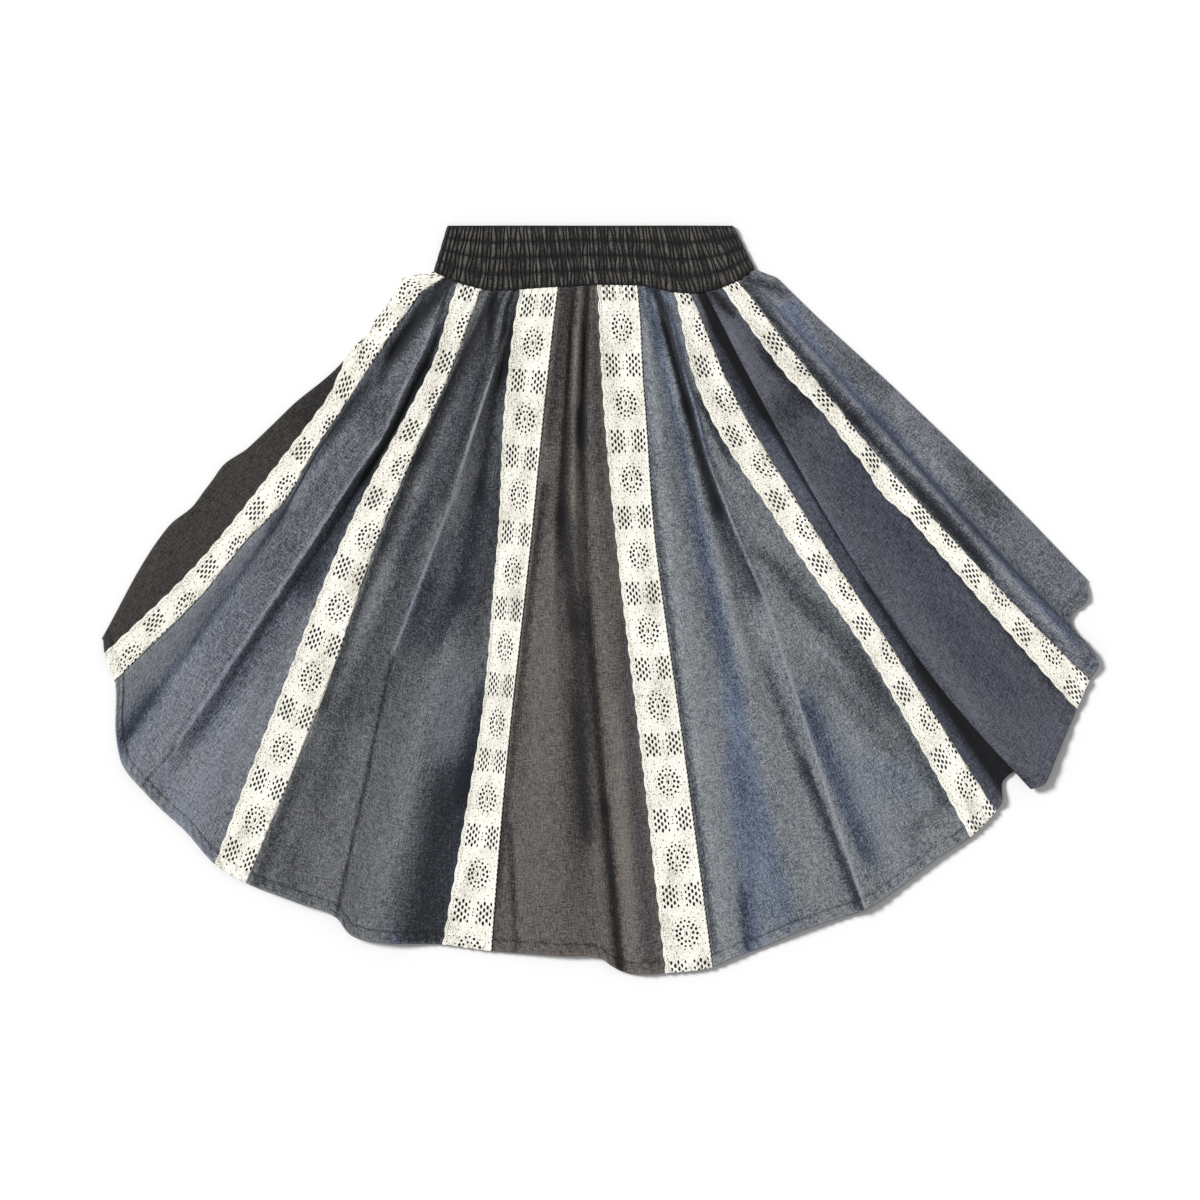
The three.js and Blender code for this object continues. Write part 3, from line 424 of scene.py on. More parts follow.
STITCH_DEPTH, STITCH_REACH = 0.65, 0.9
SIDE_COLUMNS = len(SIDE_STEPS) - 1


def bell(distance, reach):
    return np.exp(-(distance / reach) ** 2)


def chart_ends(from_bearing, from_part, to_bearing, to_part, past_band=0.0, past_hem=0.0):
    """Both ends in plan of a charted line. One that meets the band or the hem can run past."""
    bearings = np.array([from_bearing, to_bearing], float)
    parts = np.array([from_part, to_part]) / 100
    parts += past_hem * (parts > 0.94) - past_band * (parts < 0.04)
    radii = radius_at(WAIST, bearings) * (1 - parts) + CHART_HEM * parts
    return polar(bearings, radii, np.zeros(2))[:, :2]


def along_crease(plan, creases):
    """Height added by creases at places in plan, each faded out at both ends."""
    total = np.zeros(plan.shape[:-1])
    for *ends, height, width in creases:
        start, end = chart_ends(*ends)
        way = end - start
        t = np.clip(((plan - start) @ way) / (way @ way), 0, 1)
        away = np.linalg.norm(plan - start - t[..., None] * way, axis=-1)
        fade = soft_step(t / 0.3) * soft_step((1 - t) / 0.3)
        total += height * fade * bell(away, width)
    return total


def relief(u, v, points):
    """Height added by the waist seam, the gathers, the turned hem and the creases."""
    u = np.asarray(u, float) % COLUMNS
    plan = points[..., :2]
    angle = np.arctan2(plan[..., 0], -plan[..., 1])
    on_front = soft_step(u - SIDE_COLUMNS) * soft_step(first_back - 1 - SIDE_COLUMNS - u)
    on_back = soft_step(u - first_back) * soft_step(COLUMNS - u)
    from_waist, to_hem = v * line_length(u), (1 - v) * line_length(u)
    round_it = angle * np.hypot(plan[..., 0], plan[..., 1])
    waist_run = angle * WAIST_MIDDLE
    uneven = np.sin(waist_run / 19.0) + 0.6 * np.sin(waist_run / 7.3 + 1.0)
    gathers = (0.75 + 0.3 * uneven) * np.sin(2 * np.pi * waist_run / GATHER_PITCH + 1.3 * uneven)
    gathers = gathers * np.exp(-from_waist / (GATHER_REACH + 8 * uneven))
    doubled = DOUBLED * soft_step((HEM_TURN + 0.8 - to_hem) / 1.6)
    edge = EDGE_DROP * soft_step((1.6 - to_hem) / 1.6)
    sunk = SEAM_DEPTH * bell(from_waist, SEAM_REACH)
    sunk += STITCH_DEPTH * bell(to_hem - HEM_TURN, STITCH_REACH)
    slow = np.sin(round_it / 37.0) + 0.7 * np.sin(round_it / 23.0 + 2.0)
    rope = np.sin(2 * np.pi * (round_it / ROPE_PITCH + to_hem / 17.0) + 0.8 * slow)
    rope = (ROPE_HEIGHT + 0.2 * slow) * rope * soft_step((HEM_TURN + 3 - to_hem) / 5)
    front = gathers + doubled - edge - sunk + rope + along_crease(plan, CREASES)
    back = 0.5 * np.abs(gathers) + 0.3 * np.abs(rope) + along_crease(plan, BACK_CREASES)
    return on_front * front + on_back * back


def cloth(u, v):
    """The face of the skirt at u, v in metres, in the frame of the solids."""
    u, v = np.broadcast_arrays(np.asarray(u, float), np.asarray(v, float))
    points = bare_cloth(u, v)
    points = points + relief(u, v, points)[..., None] * np.array([0, 0, 1.0])
    return points * MM + np.array(pole)


def cloth_normal(u, v):
    around = cloth(u + 0.02, v) - cloth(u - 0.02, v)
    down = cloth(u, np.clip(v + 0.003, 0, 1)) - cloth(u, np.clip(v - 0.003, 0, 1))
    return unit(np.cross(down, around))


print("creases:", len(CREASES) + len(BACK_CREASES))

# %% [markdown]
# ## Where the dye is worn
# The cloth's tone is charted as streaks from one place to another, soft to their left and
# right by their own widths, which make the cloth darker or paler and can turn it toward
# indigo. Most are painted shade, darker and bluer, in the hollows and on the far sides of
# folds, and thin painted highlights along the edges of pressed creases; some stand for
# the cloth's own wear and blue streaks. A painted map would hold more, but streaks stay
# easy to change.

# %% Chart the streaks of painted shade, painted highlight and wear
# bearing and hundredths of the way down at one end, at the other, half width to the left
# and to the right, hundredths of tone, tenths of indigo
STREAKS = [
    (-34.8, 16, -34.4, 74, 20, 22, -14, 1), (-42.5, 22, -41.2, 34, 20, 20, -25, 1),
    (-41.5, 2, -39.2, 20, 9, 14, -10, 2), (-38.4, 2, -37.6, 16, 9, 9, -62, 1),
    (-38.4, 13, -36.4, 21, 5, 5, -42, 1), (-38.6, 26, -33.6, 24, 16, 16, -16, 0),
    (-37.6, 20, -37.2, 50, 10, 6, -28, 2), (-36.4, 45, -36.1, 92, 6, 6, -26, 5),
    (-36.4, 82, -36.2, 100, 12, 14, -22, 5), (-35, 60, -34.6, 100, 26, 26, 10, 2),
    (-35.4, 5, -32.6, 20, 4, 7, 22, 1), (-34.2, 3, -32, 20, 3, 9, -34, 1),
    (-33, 18, -31.8, 27, 1.6, 1.6, 35, 0), (-31.8, 28, -32.2, 40, 1.6, 1.6, 50, 0),
    (-32.2, 40, -32.7, 87, 1.6, 1.6, 42, 0), (-32.7, 87, -33.3, 96, 1.6, 1.6, -30, 0),
    (-31.6, 14, -30.9, 36, 4, 6, -75, 0), (-31.2, 34, -30.6, 56, 10, 14, -42, 5),
    (-31, 52, -32, 86, 12, 14, -22, 5), (-29.6, 74, -29, 100, 26, 30, 16, 2),
    (-33, 90, -27.4, 99, 8, 8, 14, 3), (-27.3, 3, -26.2, 30, 3, 12, -62, 0),
    (-26.4, 28, -24.2, 72, 3, 9, -45, 0), (-24, 70, -23.4, 100, 3, 12, -24, 0),
    (-28.6, 0, -23.2, 6, 8, 9, 0, 2), (-27.6, 2, -23, 10, 4, 5, -40, 2),
    (-23.6, 10, -22.4, 46, 8, 8, -20, 4), (-22.4, 0.5, -20.4, 14, 6, 5, -38, 1),
    (-24.4, 12, -23.8, 62, 12, 12, 10, 0), (-20.9, 14, -20.2, 36, 9, 3, -30, 3),
    (-20.4, 8, -20, 24, 1.6, 1.6, 55, 0), (-20, 22, -19.4, 34, 1.6, 1.6, 65, 0),
    (-19.4, 33, -19.9, 60, 1.6, 1.6, 60, 0), (-19.9, 60, -17.5, 98, 2, 2, -30, 0),
    (-20.2, 5, -18.6, 14, 2, 12, -80, 0), (-18.9, 13, -16.2, 34, 6, 8, -42, 3),
    (-16.4, 32, -15.2, 50, 10, 14, -30, 6), (-15, 48, -16.6, 58, 16, 9, -28, 6),
    (-18.4, 40, -18.8, 58, 12, 12, -12, 6), (-14, 10, -12.4, 50, 6, 14, -12, 1),
    (-13.6, 60, -12.8, 74, 20, 20, 16, 4), (-16.2, 66, -15.4, 100, 18, 14, 10, 1),
    (-12.2, 74, -12, 104, 22, 34, -44, 6), (-11, 62, -10.8, 80, 10, 30, -36, 6),
    (-10.9, 58, -10.6, 104, 3, 10, -8, 2), (-22.6, 70, -21.2, 96, 16, 16, -14, 1),
    (-21.8, 88, -18.6, 98, 20, 20, 8, -2), (-14.2, 97, -10.6, 103, 7, 7, 10, 8),
    (-9.8, 2, -8, 24, 3, 9, -30, 0), (-7.8, 30, -7.3, 98, 2, 6, -40, 0),
    (-6.9, 1, -4.6, 36, 6, 6, -45, 0), (-4.8, 34, -2.4, 52, 8, 8, -55, 0),
    (-2.4, 50, -0.8, 84, 9, 9, -45, 0), (-2, 62, -1.2, 90, 16, 12, -12, 0),
    (-3.1, 1.5, -2.5, 24, 4, 4, -75, 0), (-3.6, 18, -2.6, 24, 5, 5, -50, 0),
    (-2.5, 24, -0.9, 50, 4, 4, -45, 0), (-0.9, 50, 0.6, 80, 4, 4, -50, 0),
    (0.6, 78, 1.6, 103, 5, 5, -60, 0), (-5.4, 6, -3, 34, 4, 4, 24, 0),
    (-6, 42, -4.6, 98, 18, 22, 14, 0), (-2.6, 30, -1.2, 46, 5, 5, 20, 0),
    (1.6, 62, 2.2, 98, 10, 10, 26, 0), (2.8, 50, 3.4, 98, 8, 8, -10, 5),
    (-6.8, 82, -5.2, 100, 3, 3, -36, 0), (-1.2, 5, 0.2, 30, 10, 10, -10, 1),
    (10.2, 2, 8, 30, 3, 8, -22, 2), (7.7, 30, 7.7, 98, 2, 5, -40, 0),
    (10.6, 6, 9.4, 24, 10, 14, 16, 0), (9, 30, 8.6, 100, 20, 20, 12, -2),
    (13.9, 2, 13.3, 34, 7, 7, -24, 9), (13.3, 34, 12.8, 66, 12, 10, -20, 10),
    (12, 72, 10.4, 100, 18, 12, -18, 9), (12.4, 64, 12.8, 96, 16, 12, -4, 9),
    (14.6, 10, 14.6, 60, 10, 6, 22, -3), (10.2, 93, 9.8, 102, 4, 6, -30, 3),
    (15, 1, 17.2, 4, 5, 7, -70, 1), (16.8, 4, 16.2, 20, 10, 5, -75, 2),
    (16.2, 18, 16.4, 36, 12, 5, -70, 2), (16.6, 34, 17.8, 50, 14, 5, -45, 2),
    (16.2, 60, 17, 78, 7, 7, -26, 1), (17.2, 76, 18, 98, 8, 2, -50, 2),
    (15.4, 60, 15.8, 98, 12, 10, 8, -3), (18.4, 2, 17.4, 12, 4, 6, 20, 8),
    (17.1, 13, 16.6, 27, 1.6, 4, 45, 8), (16.6, 27, 17.4, 40, 1.5, 2, 55, 3),
    (17.4, 40, 18.2, 50, 1.5, 2, 50, 1), (18.2, 50, 18.1, 98, 1.5, 2, 50, 0),
    (18, 17, 19.6, 28, 4, 12, -48, 0), (18.6, 42, 20.8, 46, 5, 5, -30, 0),
    (20.8, 46, 22.6, 56, 10, 12, -28, -1), (23, 54, 24.6, 72, 10, 14, -22, -1),
    (21, 62, 24.4, 80, 10, 10, -16, -1), (25, 60, 26.2, 90, 10, 4, -26, 0),
    (18.5, 66, 19.2, 94, 5, 16, -22, 10), (20.4, 72, 21.6, 98, 14, 14, 10, 1),
    (22.6, 92, 26.2, 90, 7, 7, -16, 0), (21.6, 97, 26.4, 95, 8, 8, 26, 1),
    (24.6, 4, 27, 2, 8, 8, 16, 0), (24.6, 10, 26.4, 26, 7, 9, -26, 2),
    (26.4, 16, 27.8, 40, 8, 4, 10, 5), (27.6, 40, 29.2, 92, 16, 12, -12, 3),
    (28, 2, 26, 9, 6, 6, -60, 0), (27.3, 5, 27.5, 22, 7, 1.5, -90, 0),
    (29.3, 68, 30.6, 94, 9, 1.5, -80, 0), (28.6, 52, 29.4, 70, 5, 1.5, -50, 0),
    (28.8, 5, 28.4, 22, 6, 14, 16, -1), (29.6, 3, 31, 5, 5, 5, -75, 0),
    (28.4, 21, 33.6, 23, 16, 14, -30, 0), (27.7, 28, 28.8, 52, 1.5, 5, 22, 0),
    (28.8, 52, 31.6, 94, 1.5, 6, 22, 0), (32.2, 10, 32.6, 16, 7, 6, -40, 0),
    (33.6, 34, 34.2, 80, 26, 20, -6, 5), (29.6, 36, 32.4, 90, 10, 18, 6, -1),
    (32.6, 93, 36.4, 87, 9, 9, 18, 2), (31, 88, 31.8, 94, 5, 5, -50, 0),
    (32.4, 13, 34.8, 25, 8, 4, -34, 0), (35.2, 30, 37.6, 84, 6, 3, -30, 0),
    (37.2, 3, 37.6, 30, 3, 10, -48, 2), (37.8, 28, 38.9, 62, 3, 10, -48, 3),
    (38.9, 62, 39.6, 80, 3, 8, -20, 2), (38.8, 8, 39.6, 30, 5, 6, 14, -2),
    (39.2, 32, 40.4, 80, 5, 5, 18, -2), (40, 8, 40.2, 32, 6, 9, -6, 10),
    (40.3, 30, 40.8, 80, 5, 8, -12, 10), (37.4, 2, 42.6, 6, 4, 5, -40, 2),
    (40.4, 8, 43.6, 10, 12, 10, 6, 8), (42.2, 18, 43.8, 30, 14, 12, -14, -3),
    (42.4, 34, 44.6, 31, 6, 6, 16, -2), (42, 38, 42.6, 74, 12, 12, 8, -4),
    (43.6, 44, 43.8, 56, 16, 12, -22, -2), (41.6, 74, 45, 72, 5, 5, 12, 4),
    (40.4, 82, 40.9, 86, 8, 8, -6, 4), (-37.8, 2, -42.6, 2, 6, 6, -30, 1),
    (-34.2, 3, -33.2, 16, 6, 12, -24, 1), (-22.4, 36, -22, 72, 22, 12, -18, 2),
    (-19.2, 46, -19.6, 72, 14, 12, -16, 2), (-14.6, 24, -14, 56, 14, 20, -18, 2),
    (-24.4, 46, -23.8, 80, 12, 12, 22, 0), (-8.4, 56, -7.8, 80, 14, 10, 34, 0),
    (-4.6, 2, -3.6, 20, 8, 8, 24, 0), (14.8, 2, 14.6, 22, 9, 9, 20, 0),
    (28.8, 3, 30.6, 18, 9, 12, 26, 0), (30, 58, 31.2, 80, 6, 14, 12, 0),
    (-38, 4, -37.4, 14, 5, 5, -10, 1), (-37.4, 34, -37.2, 60, 10, 10, 16, 0),
    (42, 50, 43, 84, 22, 22, -14, 0), (39, 42, 39.4, 60, 7, 7, -20, 1),
    (38.6, 2, 39.4, 20, 8, 8, 18, 0), (11.8, 60, 10.6, 100, 20, 20, 14, 0),
    (21, 80, 25, 86, 24, 24, 2, 5),
]
TONE = 0.5                   # halfway between the dark and the pale yarn
PAST_BAND, PAST_HEM = 0.03, 0.04


def along_streaks(points):
    """Tone and indigo at places in metres, mostly painted shade and highlight along the folds:
    where one streak ends the next can take over.
    """
    plan = points[..., :2] / MM - np.array(pole)[:2] / MM
    tone = np.full(plan.shape[:-1], TONE)
    indigo = np.zeros(plan.shape[:-1])
    for *ends, left, right, paler, bluer in STREAKS:
        start, end = chart_ends(*ends, PAST_BAND, PAST_HEM)
        size = np.linalg.norm(end - start)
        way = (end - start) / size
        along = (plan - start) @ way
        aside = (plan - start) @ np.array([-way[1], way[0]])
        soft = 0.35 * (left + right) + 4
        strength = bell(aside, np.where(aside > 0, right, left)) * 0.25
        strength *= (1 + np.tanh(along / soft)) * (1 + np.tanh((size - along) / soft))
        # painted shade and painted highlight along the folds, with some wear, go into the tone
        # here
        tone += paler / 100 * strength
        indigo += bluer / 10 * strength
    return tone, np.clip(indigo, -0.5, 1)


print("streaks:", len(STREAKS))

# %% [markdown]
# ## Weave, yarn and colour
# Chambray and denim have a dark and a pale yarn, so from arm's length the cloth looks
# salted. One shader group makes that from the cloth's own map, which is in metres along
# and across each panel: long streaks for the uneven yarns, specks where a pale yarn lies
# on top, and a fine rib for the bump. Every cloth uses it with its own two yarn colours.

# %% Set up the shader helpers
def linear(red, green, blue):
    """A colour given as 0 to 255, turned into what the shader wants."""
    parts = []
    for part in (red, green, blue):
        part /= 255
        parts.append(part / 12.92 if part <= 0.04045 else ((part + 0.055) / 1.055) ** 2.4)
    return (*parts, 1)


def add_node(tree, kind, **settings):
    made = tree.nodes.new(kind)
    for name, value in settings.items():
        setattr(made, name, value)
    return made


def fill(tree, sockets, values):
    """Gives each socket a value of its own, or joins it to an output."""
    for socket, value in zip(sockets, values):
        if isinstance(value, bpy.types.NodeSocket):
            tree.links.new(value, socket)
        else:
            socket.default_value = value


def maths(tree, operation, first, second):
    """first (+, -, x ...) second, where each is a number or an output."""
    made = add_node(tree, "ShaderNodeMath", operation=operation)
    fill(tree, made.inputs, (first, second))
    return made.outputs[0]


def mixed(tree, amount, first, second, blend="MIX"):
    """A mix of two colours, where each is a colour or an output."""
    made = add_node(tree, "ShaderNodeMix", data_type="RGBA", blend_type=blend)
    fill(tree, (made.inputs[0], *made.inputs[6:8]), (amount, first, second))
    return made.outputs[2]


def scaled_map(tree, vector, across, along):
    """The map counted in cells of across by along metres."""
    scaled = add_node(tree, "ShaderNodeVectorMath", operation="MULTIPLY")
    fill(tree, scaled.inputs, (vector, (1 / across, 1 / along, 1)))
    return scaled.outputs[0]


def stretched_noise(tree, vector, across, along, detail=1.0):
    """Noise with grains of across by along metres."""
    noise = add_node(tree, "ShaderNodeTexNoise", noise_dimensions="2D")
    noise.inputs["Scale"].default_value = 1.0
    noise.inputs["Detail"].default_value = detail
    tree.links.new(scaled_map(tree, vector, across, along), noise.inputs["Vector"])
    return noise.outputs["Fac"]


def single_yarns(tree, vector, across, along):
    """A chance value for each cell of across by along metres."""
    cell = add_node(tree, "ShaderNodeVectorMath", operation="FLOOR")
    tree.links.new(scaled_map(tree, vector, across, along), cell.inputs[0])
    chance = add_node(tree, "ShaderNodeTexWhiteNoise", noise_dimensions="2D")
    tree.links.new(cell.outputs[0], chance.inputs["Vector"])
    return chance.outputs["Value"]


def new_finish(name, **values):
    """A material whose shader has these values. Its sockets are named with _ for a space."""
    material = bpy.data.materials.new(name)
    material.use_nodes = True
    shader = material.node_tree.nodes["Principled BSDF"]
    for socket, value in values.items():
        shader.inputs[socket.replace("_", " ")].default_value = value
    return material, material.node_tree, shader


def add_bump(tree, shader, height, distance):
    raised = add_node(tree, "ShaderNodeBump")
    raised.inputs["Strength"].default_value = 1.0
    raised.inputs["Distance"].default_value = distance
    tree.links.new(height, raised.inputs["Height"])
    tree.links.new(raised.outputs["Normal"], shader.inputs["Normal"])


print("a middle grey for the shader:", round(linear(128, 128, 128)[0], 3))

# %% [markdown]
# ## One weave for every cloth
# All the cloths share one node group. It draws the yarns and mixes the two yarn colours by
# the tone of the point, and the lowest tones sink into a near-black painted shade.

# %% Make the weave group
# metres across and along of a grain
WARP_GRAIN, WEFT_GRAIN = (0.0011, 0.012), (0.009, 0.0011)
SPECK_CELL, WASH_GRAIN = (0.0009, 0.0013), (0.03, 0.07)
STREAK_SHARE, SPECK_SHARE, WASH_SHARE = 0.8, 0.70, 0.30
SPECK_MEAN = 0.33            # what is taken off so that specks don't change the tone
SHADE_SLOPE, SHADE_START = 1.15, 0.42   # how the painted shade gives way to the yarns as the tone rises
# near-black colour of the deepest painted shade
DEEP_SHADE = linear(14, 15, 19)
# a blue tint: the bluer colour of painted shade on fold slopes, and the cloth's own blue streaks
INDIGO_TINT = (0.72, 0.83, 1.07, 1)
HUE_GRAINS, HUE_SHARE = 520.0, 0.22
WEAVE_SOCKETS = [
    ("Map", "INPUT", "Vector"), ("Dark yarn", "INPUT", "Color"), ("Pale yarn", "INPUT", "Color"),
    ("Tone", "INPUT", "Float"), ("Indigo", "INPUT", "Float"),
    ("Color", "OUTPUT", "Color"), ("Height", "OUTPUT", "Float"),
]


def make_weave_group():
    group = bpy.data.node_groups.new("two-yarn weave", "ShaderNodeTree")
    for name, way, kind in WEAVE_SOCKETS:
        group.interface.new_socket(name, in_out=way, socket_type="NodeSocket" + kind)
    given = add_node(group, "NodeGroupInput").outputs
    out = add_node(group, "NodeGroupOutput")
    warp = stretched_noise(group, given["Map"], *WARP_GRAIN)
    weft = stretched_noise(group, given["Map"], *WEFT_GRAIN)
    specks = single_yarns(group, given["Map"], *SPECK_CELL)
    washed = stretched_noise(group, given["Map"], *WASH_GRAIN, 3.0)
    streaks = maths(group, "SUBTRACT", maths(group, "ADD", warp, weft), 1.0)
    salted = maths(group, "SUBTRACT", maths(group, "MULTIPLY", specks, specks), SPECK_MEAN)
    cloudy = maths(group, "MULTIPLY", maths(group, "SUBTRACT", washed, 0.5), WASH_SHARE)
    yarns = maths(group, "ADD", maths(group, "MULTIPLY", streaks, STREAK_SHARE),
                  maths(group, "MULTIPLY", salted, SPECK_SHARE))
    amount = maths(group, "ADD", maths(group, "ADD", yarns, cloudy), given["Tone"])
    # painted shade: low tones sink toward the near-black shade colour
    unshaded = maths(group, "ADD", maths(group, "MULTIPLY", given["Tone"], SHADE_SLOPE), SHADE_START)
    blend = mixed(group, amount, given["Dark yarn"], given["Pale yarn"])
    sunk = mixed(group, unshaded, DEEP_SHADE, blend)
    bluer = mixed(group, given["Indigo"], sunk, INDIGO_TINT, "MULTIPLY")
    hue = add_node(group, "ShaderNodeTexNoise", noise_dimensions="2D")
    hue.inputs["Scale"].default_value = HUE_GRAINS
    group.links.new(given["Map"], hue.inputs["Vector"])
    tinted = mixed(group, HUE_SHARE, bluer, hue.outputs["Color"], "SOFT_LIGHT")
    fill(group, (out.inputs["Color"], out.inputs["Height"]), (tinted, yarns))
    return group


weave = make_weave_group()
print("weave group:", len(weave.nodes), "nodes")

# %% [markdown]
# ## The cloths
# A cloth is its two yarn colours. The pale specks on dark ground come from the weave.

# %% Make the cloths
WEAVE_RELIEF = 0.00025


def make_cloth(name, dark, pale):
    """A woven cloth with two yarn colours, given as 0 to 255."""
    material, tree, shader = new_finish(name, Roughness=0.92, Specular_IOR_Level=0.25,
                                        Sheen_Weight=0.08, Sheen_Roughness=0.6)
    yarns = add_node(tree, "ShaderNodeGroup", node_tree=weave)
    placed = add_node(tree, "ShaderNodeUVMap", uv_map="cloth")
    tone = add_node(tree, "ShaderNodeAttribute", attribute_name="tone")
    indigo = add_node(tree, "ShaderNodeAttribute", attribute_name="indigo")
    fill(tree, yarns.inputs, (placed.outputs["UV"], linear(*dark), linear(*pale),
                              tone.outputs["Fac"], indigo.outputs["Fac"]))
    tree.links.new(yarns.outputs["Color"], shader.inputs["Base Color"])
    add_bump(tree, shader, yarns.outputs["Height"], WEAVE_RELIEF)
    return material


# name, dark yarn, pale yarn
CLOTHS = {
    "cloth_charcoal": ((27, 25, 24), (76, 72, 68)),
    "cloth_blue": ((49, 52, 58), (146, 149, 156)),
    "cloth_slate": ((40, 42, 46), (127, 129, 132)),
    "cloth_steel": ((50, 56, 64), (150, 154, 158)),
    "cloth_navy": ((35, 37, 45), (102, 104, 114)),
    "cloth_brown": ((40, 37, 36), (119, 113, 108)),
    "band": ((18, 17, 15), (104, 100, 95)),
}
cloths = {name: make_cloth(name, *yarns) for name, yarns in CLOTHS.items()}
print("cloths:", ", ".join(cloths))

# %% [markdown]
# ## The gores
# A gore is cut flat, wider at the hem, and takes its folds when it is laid down. Each one
# here is a grid of small squares laid on the lines between its two seams, closer together
# near the hem, and given a thickness below its face. A cloth simulation could drop a flat
# panel in place, but its folds would fall by chance and not along the lines.

# %% Set up the tools for cloth pieces
FRONT_CELL, BACK_CELL = 0.0032, 0.008
CREASE_SIDES = (1.0, 2.2)    # where a pressed crease has extra columns, on both sides


def rows_between(length):
    """Parts of a line of so many millimetres: close at the waist and at the turned hem."""
    near = np.arange(0, 44, 2.8)
    middle = np.linspace(46, length - 18, int((length - 64) / 6.0))
    end = np.linspace(length - 16, length, 13)
    return np.concatenate([near, middle, end]) / length


def columns_between(start, end):
    """Columns from start to end with steps of about one cell at the hem."""
    steps = []
    for k in range(start, end):
        here, there = cloth([k % COLUMNS, (k + 1) % COLUMNS], [1.0, 1.0])
        wide = np.linalg.norm(there - here)
        cell = FRONT_CELL if k % COLUMNS < first_back else BACK_CELL
        count = max(3, math.ceil(wide / cell))
        steps.extend(k + np.arange(count) / count)
        if ring_sharp[k % COLUMNS]:
            steps.extend(k + away / (wide / MM) for away in CREASE_SIDES)
        if ring_sharp[(k + 1) % COLUMNS]:
            steps.extend(k + 1 - away / (wide / MM) for away in CREASE_SIDES)
    return np.array([*sorted(steps), end])


def smooth_by_angle(mesh, angle):
    mesh.shade_smooth()
    mesh.set_sharp_from_angle(angle=math.radians(angle))


def mesh_of(bm, name):
    mesh = bpy.data.meshes.new(name)
    bm.to_mesh(mesh)
    bm.free()
    return mesh


def flat_points(mesh):
    flat = np.zeros(len(mesh.vertices) * 3)
    mesh.vertices.foreach_get("co", flat)
    return flat.reshape(-1, 3)


def grid_piece(name, wide, long):
    """A flat grid with its width along X and its length down Y, as cloth is laid out."""
    bm = bmesh.new()
    bmesh.ops.create_grid(bm, x_segments=wide, y_segments=long, size=0.5)
    mesh = mesh_of(bm, name)
    flat = flat_points(mesh)
    column = np.rint((flat[:, 0] + 0.5) * wide).astype(int)
    row = np.rint((0.5 - flat[:, 1]) * long).astype(int)
    return mesh, column, row


def give_map(mesh, name, places):
    """A UV map with one place for each vertex."""
    layer = mesh.uv_layers.new(name=name)
    corners = np.zeros(len(mesh.loops), int)
    mesh.loops.foreach_get("vertex_index", corners)
    layer.data.foreach_set("uv", places[corners].astype(np.float32).ravel())


def give_tone(mesh, tones, indigos):
    """Point attributes that the weave group reads."""
    for name, values in (("tone", tones), ("indigo", indigos)):
        attribute = mesh.attributes.new(name, "FLOAT", "POINT")
        attribute.data.foreach_set("value", values.astype(np.float32))


def finish_piece(name, mesh, node, material):
    piece = add_object(name, mesh)
    mesh.materials.append(material)
    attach(piece, "root")
    if node:
        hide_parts(node)
    return piece


print("rows down a line of 700 mm:", len(rows_between(700.0)))

# %% [markdown]
# ## Wear and painted shade
# The tone of a gore comes from the streaks. The turned hem is paler with darker stitches,
# and the cloth is painted darker, as shade, where a strip of lace or the flap of a fold
# covers it.

# %% Lay the gores
CLOTH_THICKNESS = 0.0008
EDGES_SUNK = ((0, 0.7), (1, 0.15), (-1, 0.7), (-2, 0.15))   # column of a gore, millimetres
HEM_WEAR = 0.30              # how much paler the edge of the hem is
STITCH_DARK = 0.2            # how much darker its line of stitches is
RIB_STRIPES = 0.09              # how much lighter and darker the slanting ribs of the hem are made
RIB_SLANT = 0.6
RECESS_SHADE = 0.75           # how much darker the cloth is painted beside and under the flap, as shade
LACE_SHADE = 0.5             # how much darker the cloth is painted under a strip of lace, as its shade


def gore_tone(node, net, across, run, to_hem):
    """Tone and indigo of a gore, with painted shade under the lace and beside the flap. The
    inside and the back stay at the middle tone.
    """
    tone, indigo = along_streaks(net)
    # painted shade: the cloth under each strip of lace is made darker
    for number in SEAM_NUMBERS:
        covered = soft_step((across - place[f"lace {number}"] - 0.02) / 0.08)
        covered *= soft_step((place[f"seam {number}"] - 0.01 - across) / 0.04)
        tone = tone - LACE_SHADE * covered
    # painted shade beside and under the flap of the tuck
    if node == "gore_front_5":
        recess = soft_step((across - place["brink"]) / 1.3) * (across < place["flap low"] + 0.9)
        tone = tone - RECESS_SHADE * recess
    # the slanting ribs of the hem are made lighter and darker in turn
    ribs = np.sin(2 * np.pi * (run / MM + to_hem * RIB_SLANT) / ROPE_PITCH)
    hem_tone = HEM_WEAR * soft_step(1.6 - to_hem / 2) - STITCH_DARK * bell(to_hem - HEM_TURN, 1.3)
    hem_tone += RIB_STRIPES * ribs * soft_step((HEM_TURN + 2 - to_hem) / 4)
    on_front = net[..., 2] > FLAT_FRONT / 2 * MM
    return np.where(on_front, tone + hem_tone, TONE), np.where(on_front, indigo, 0)


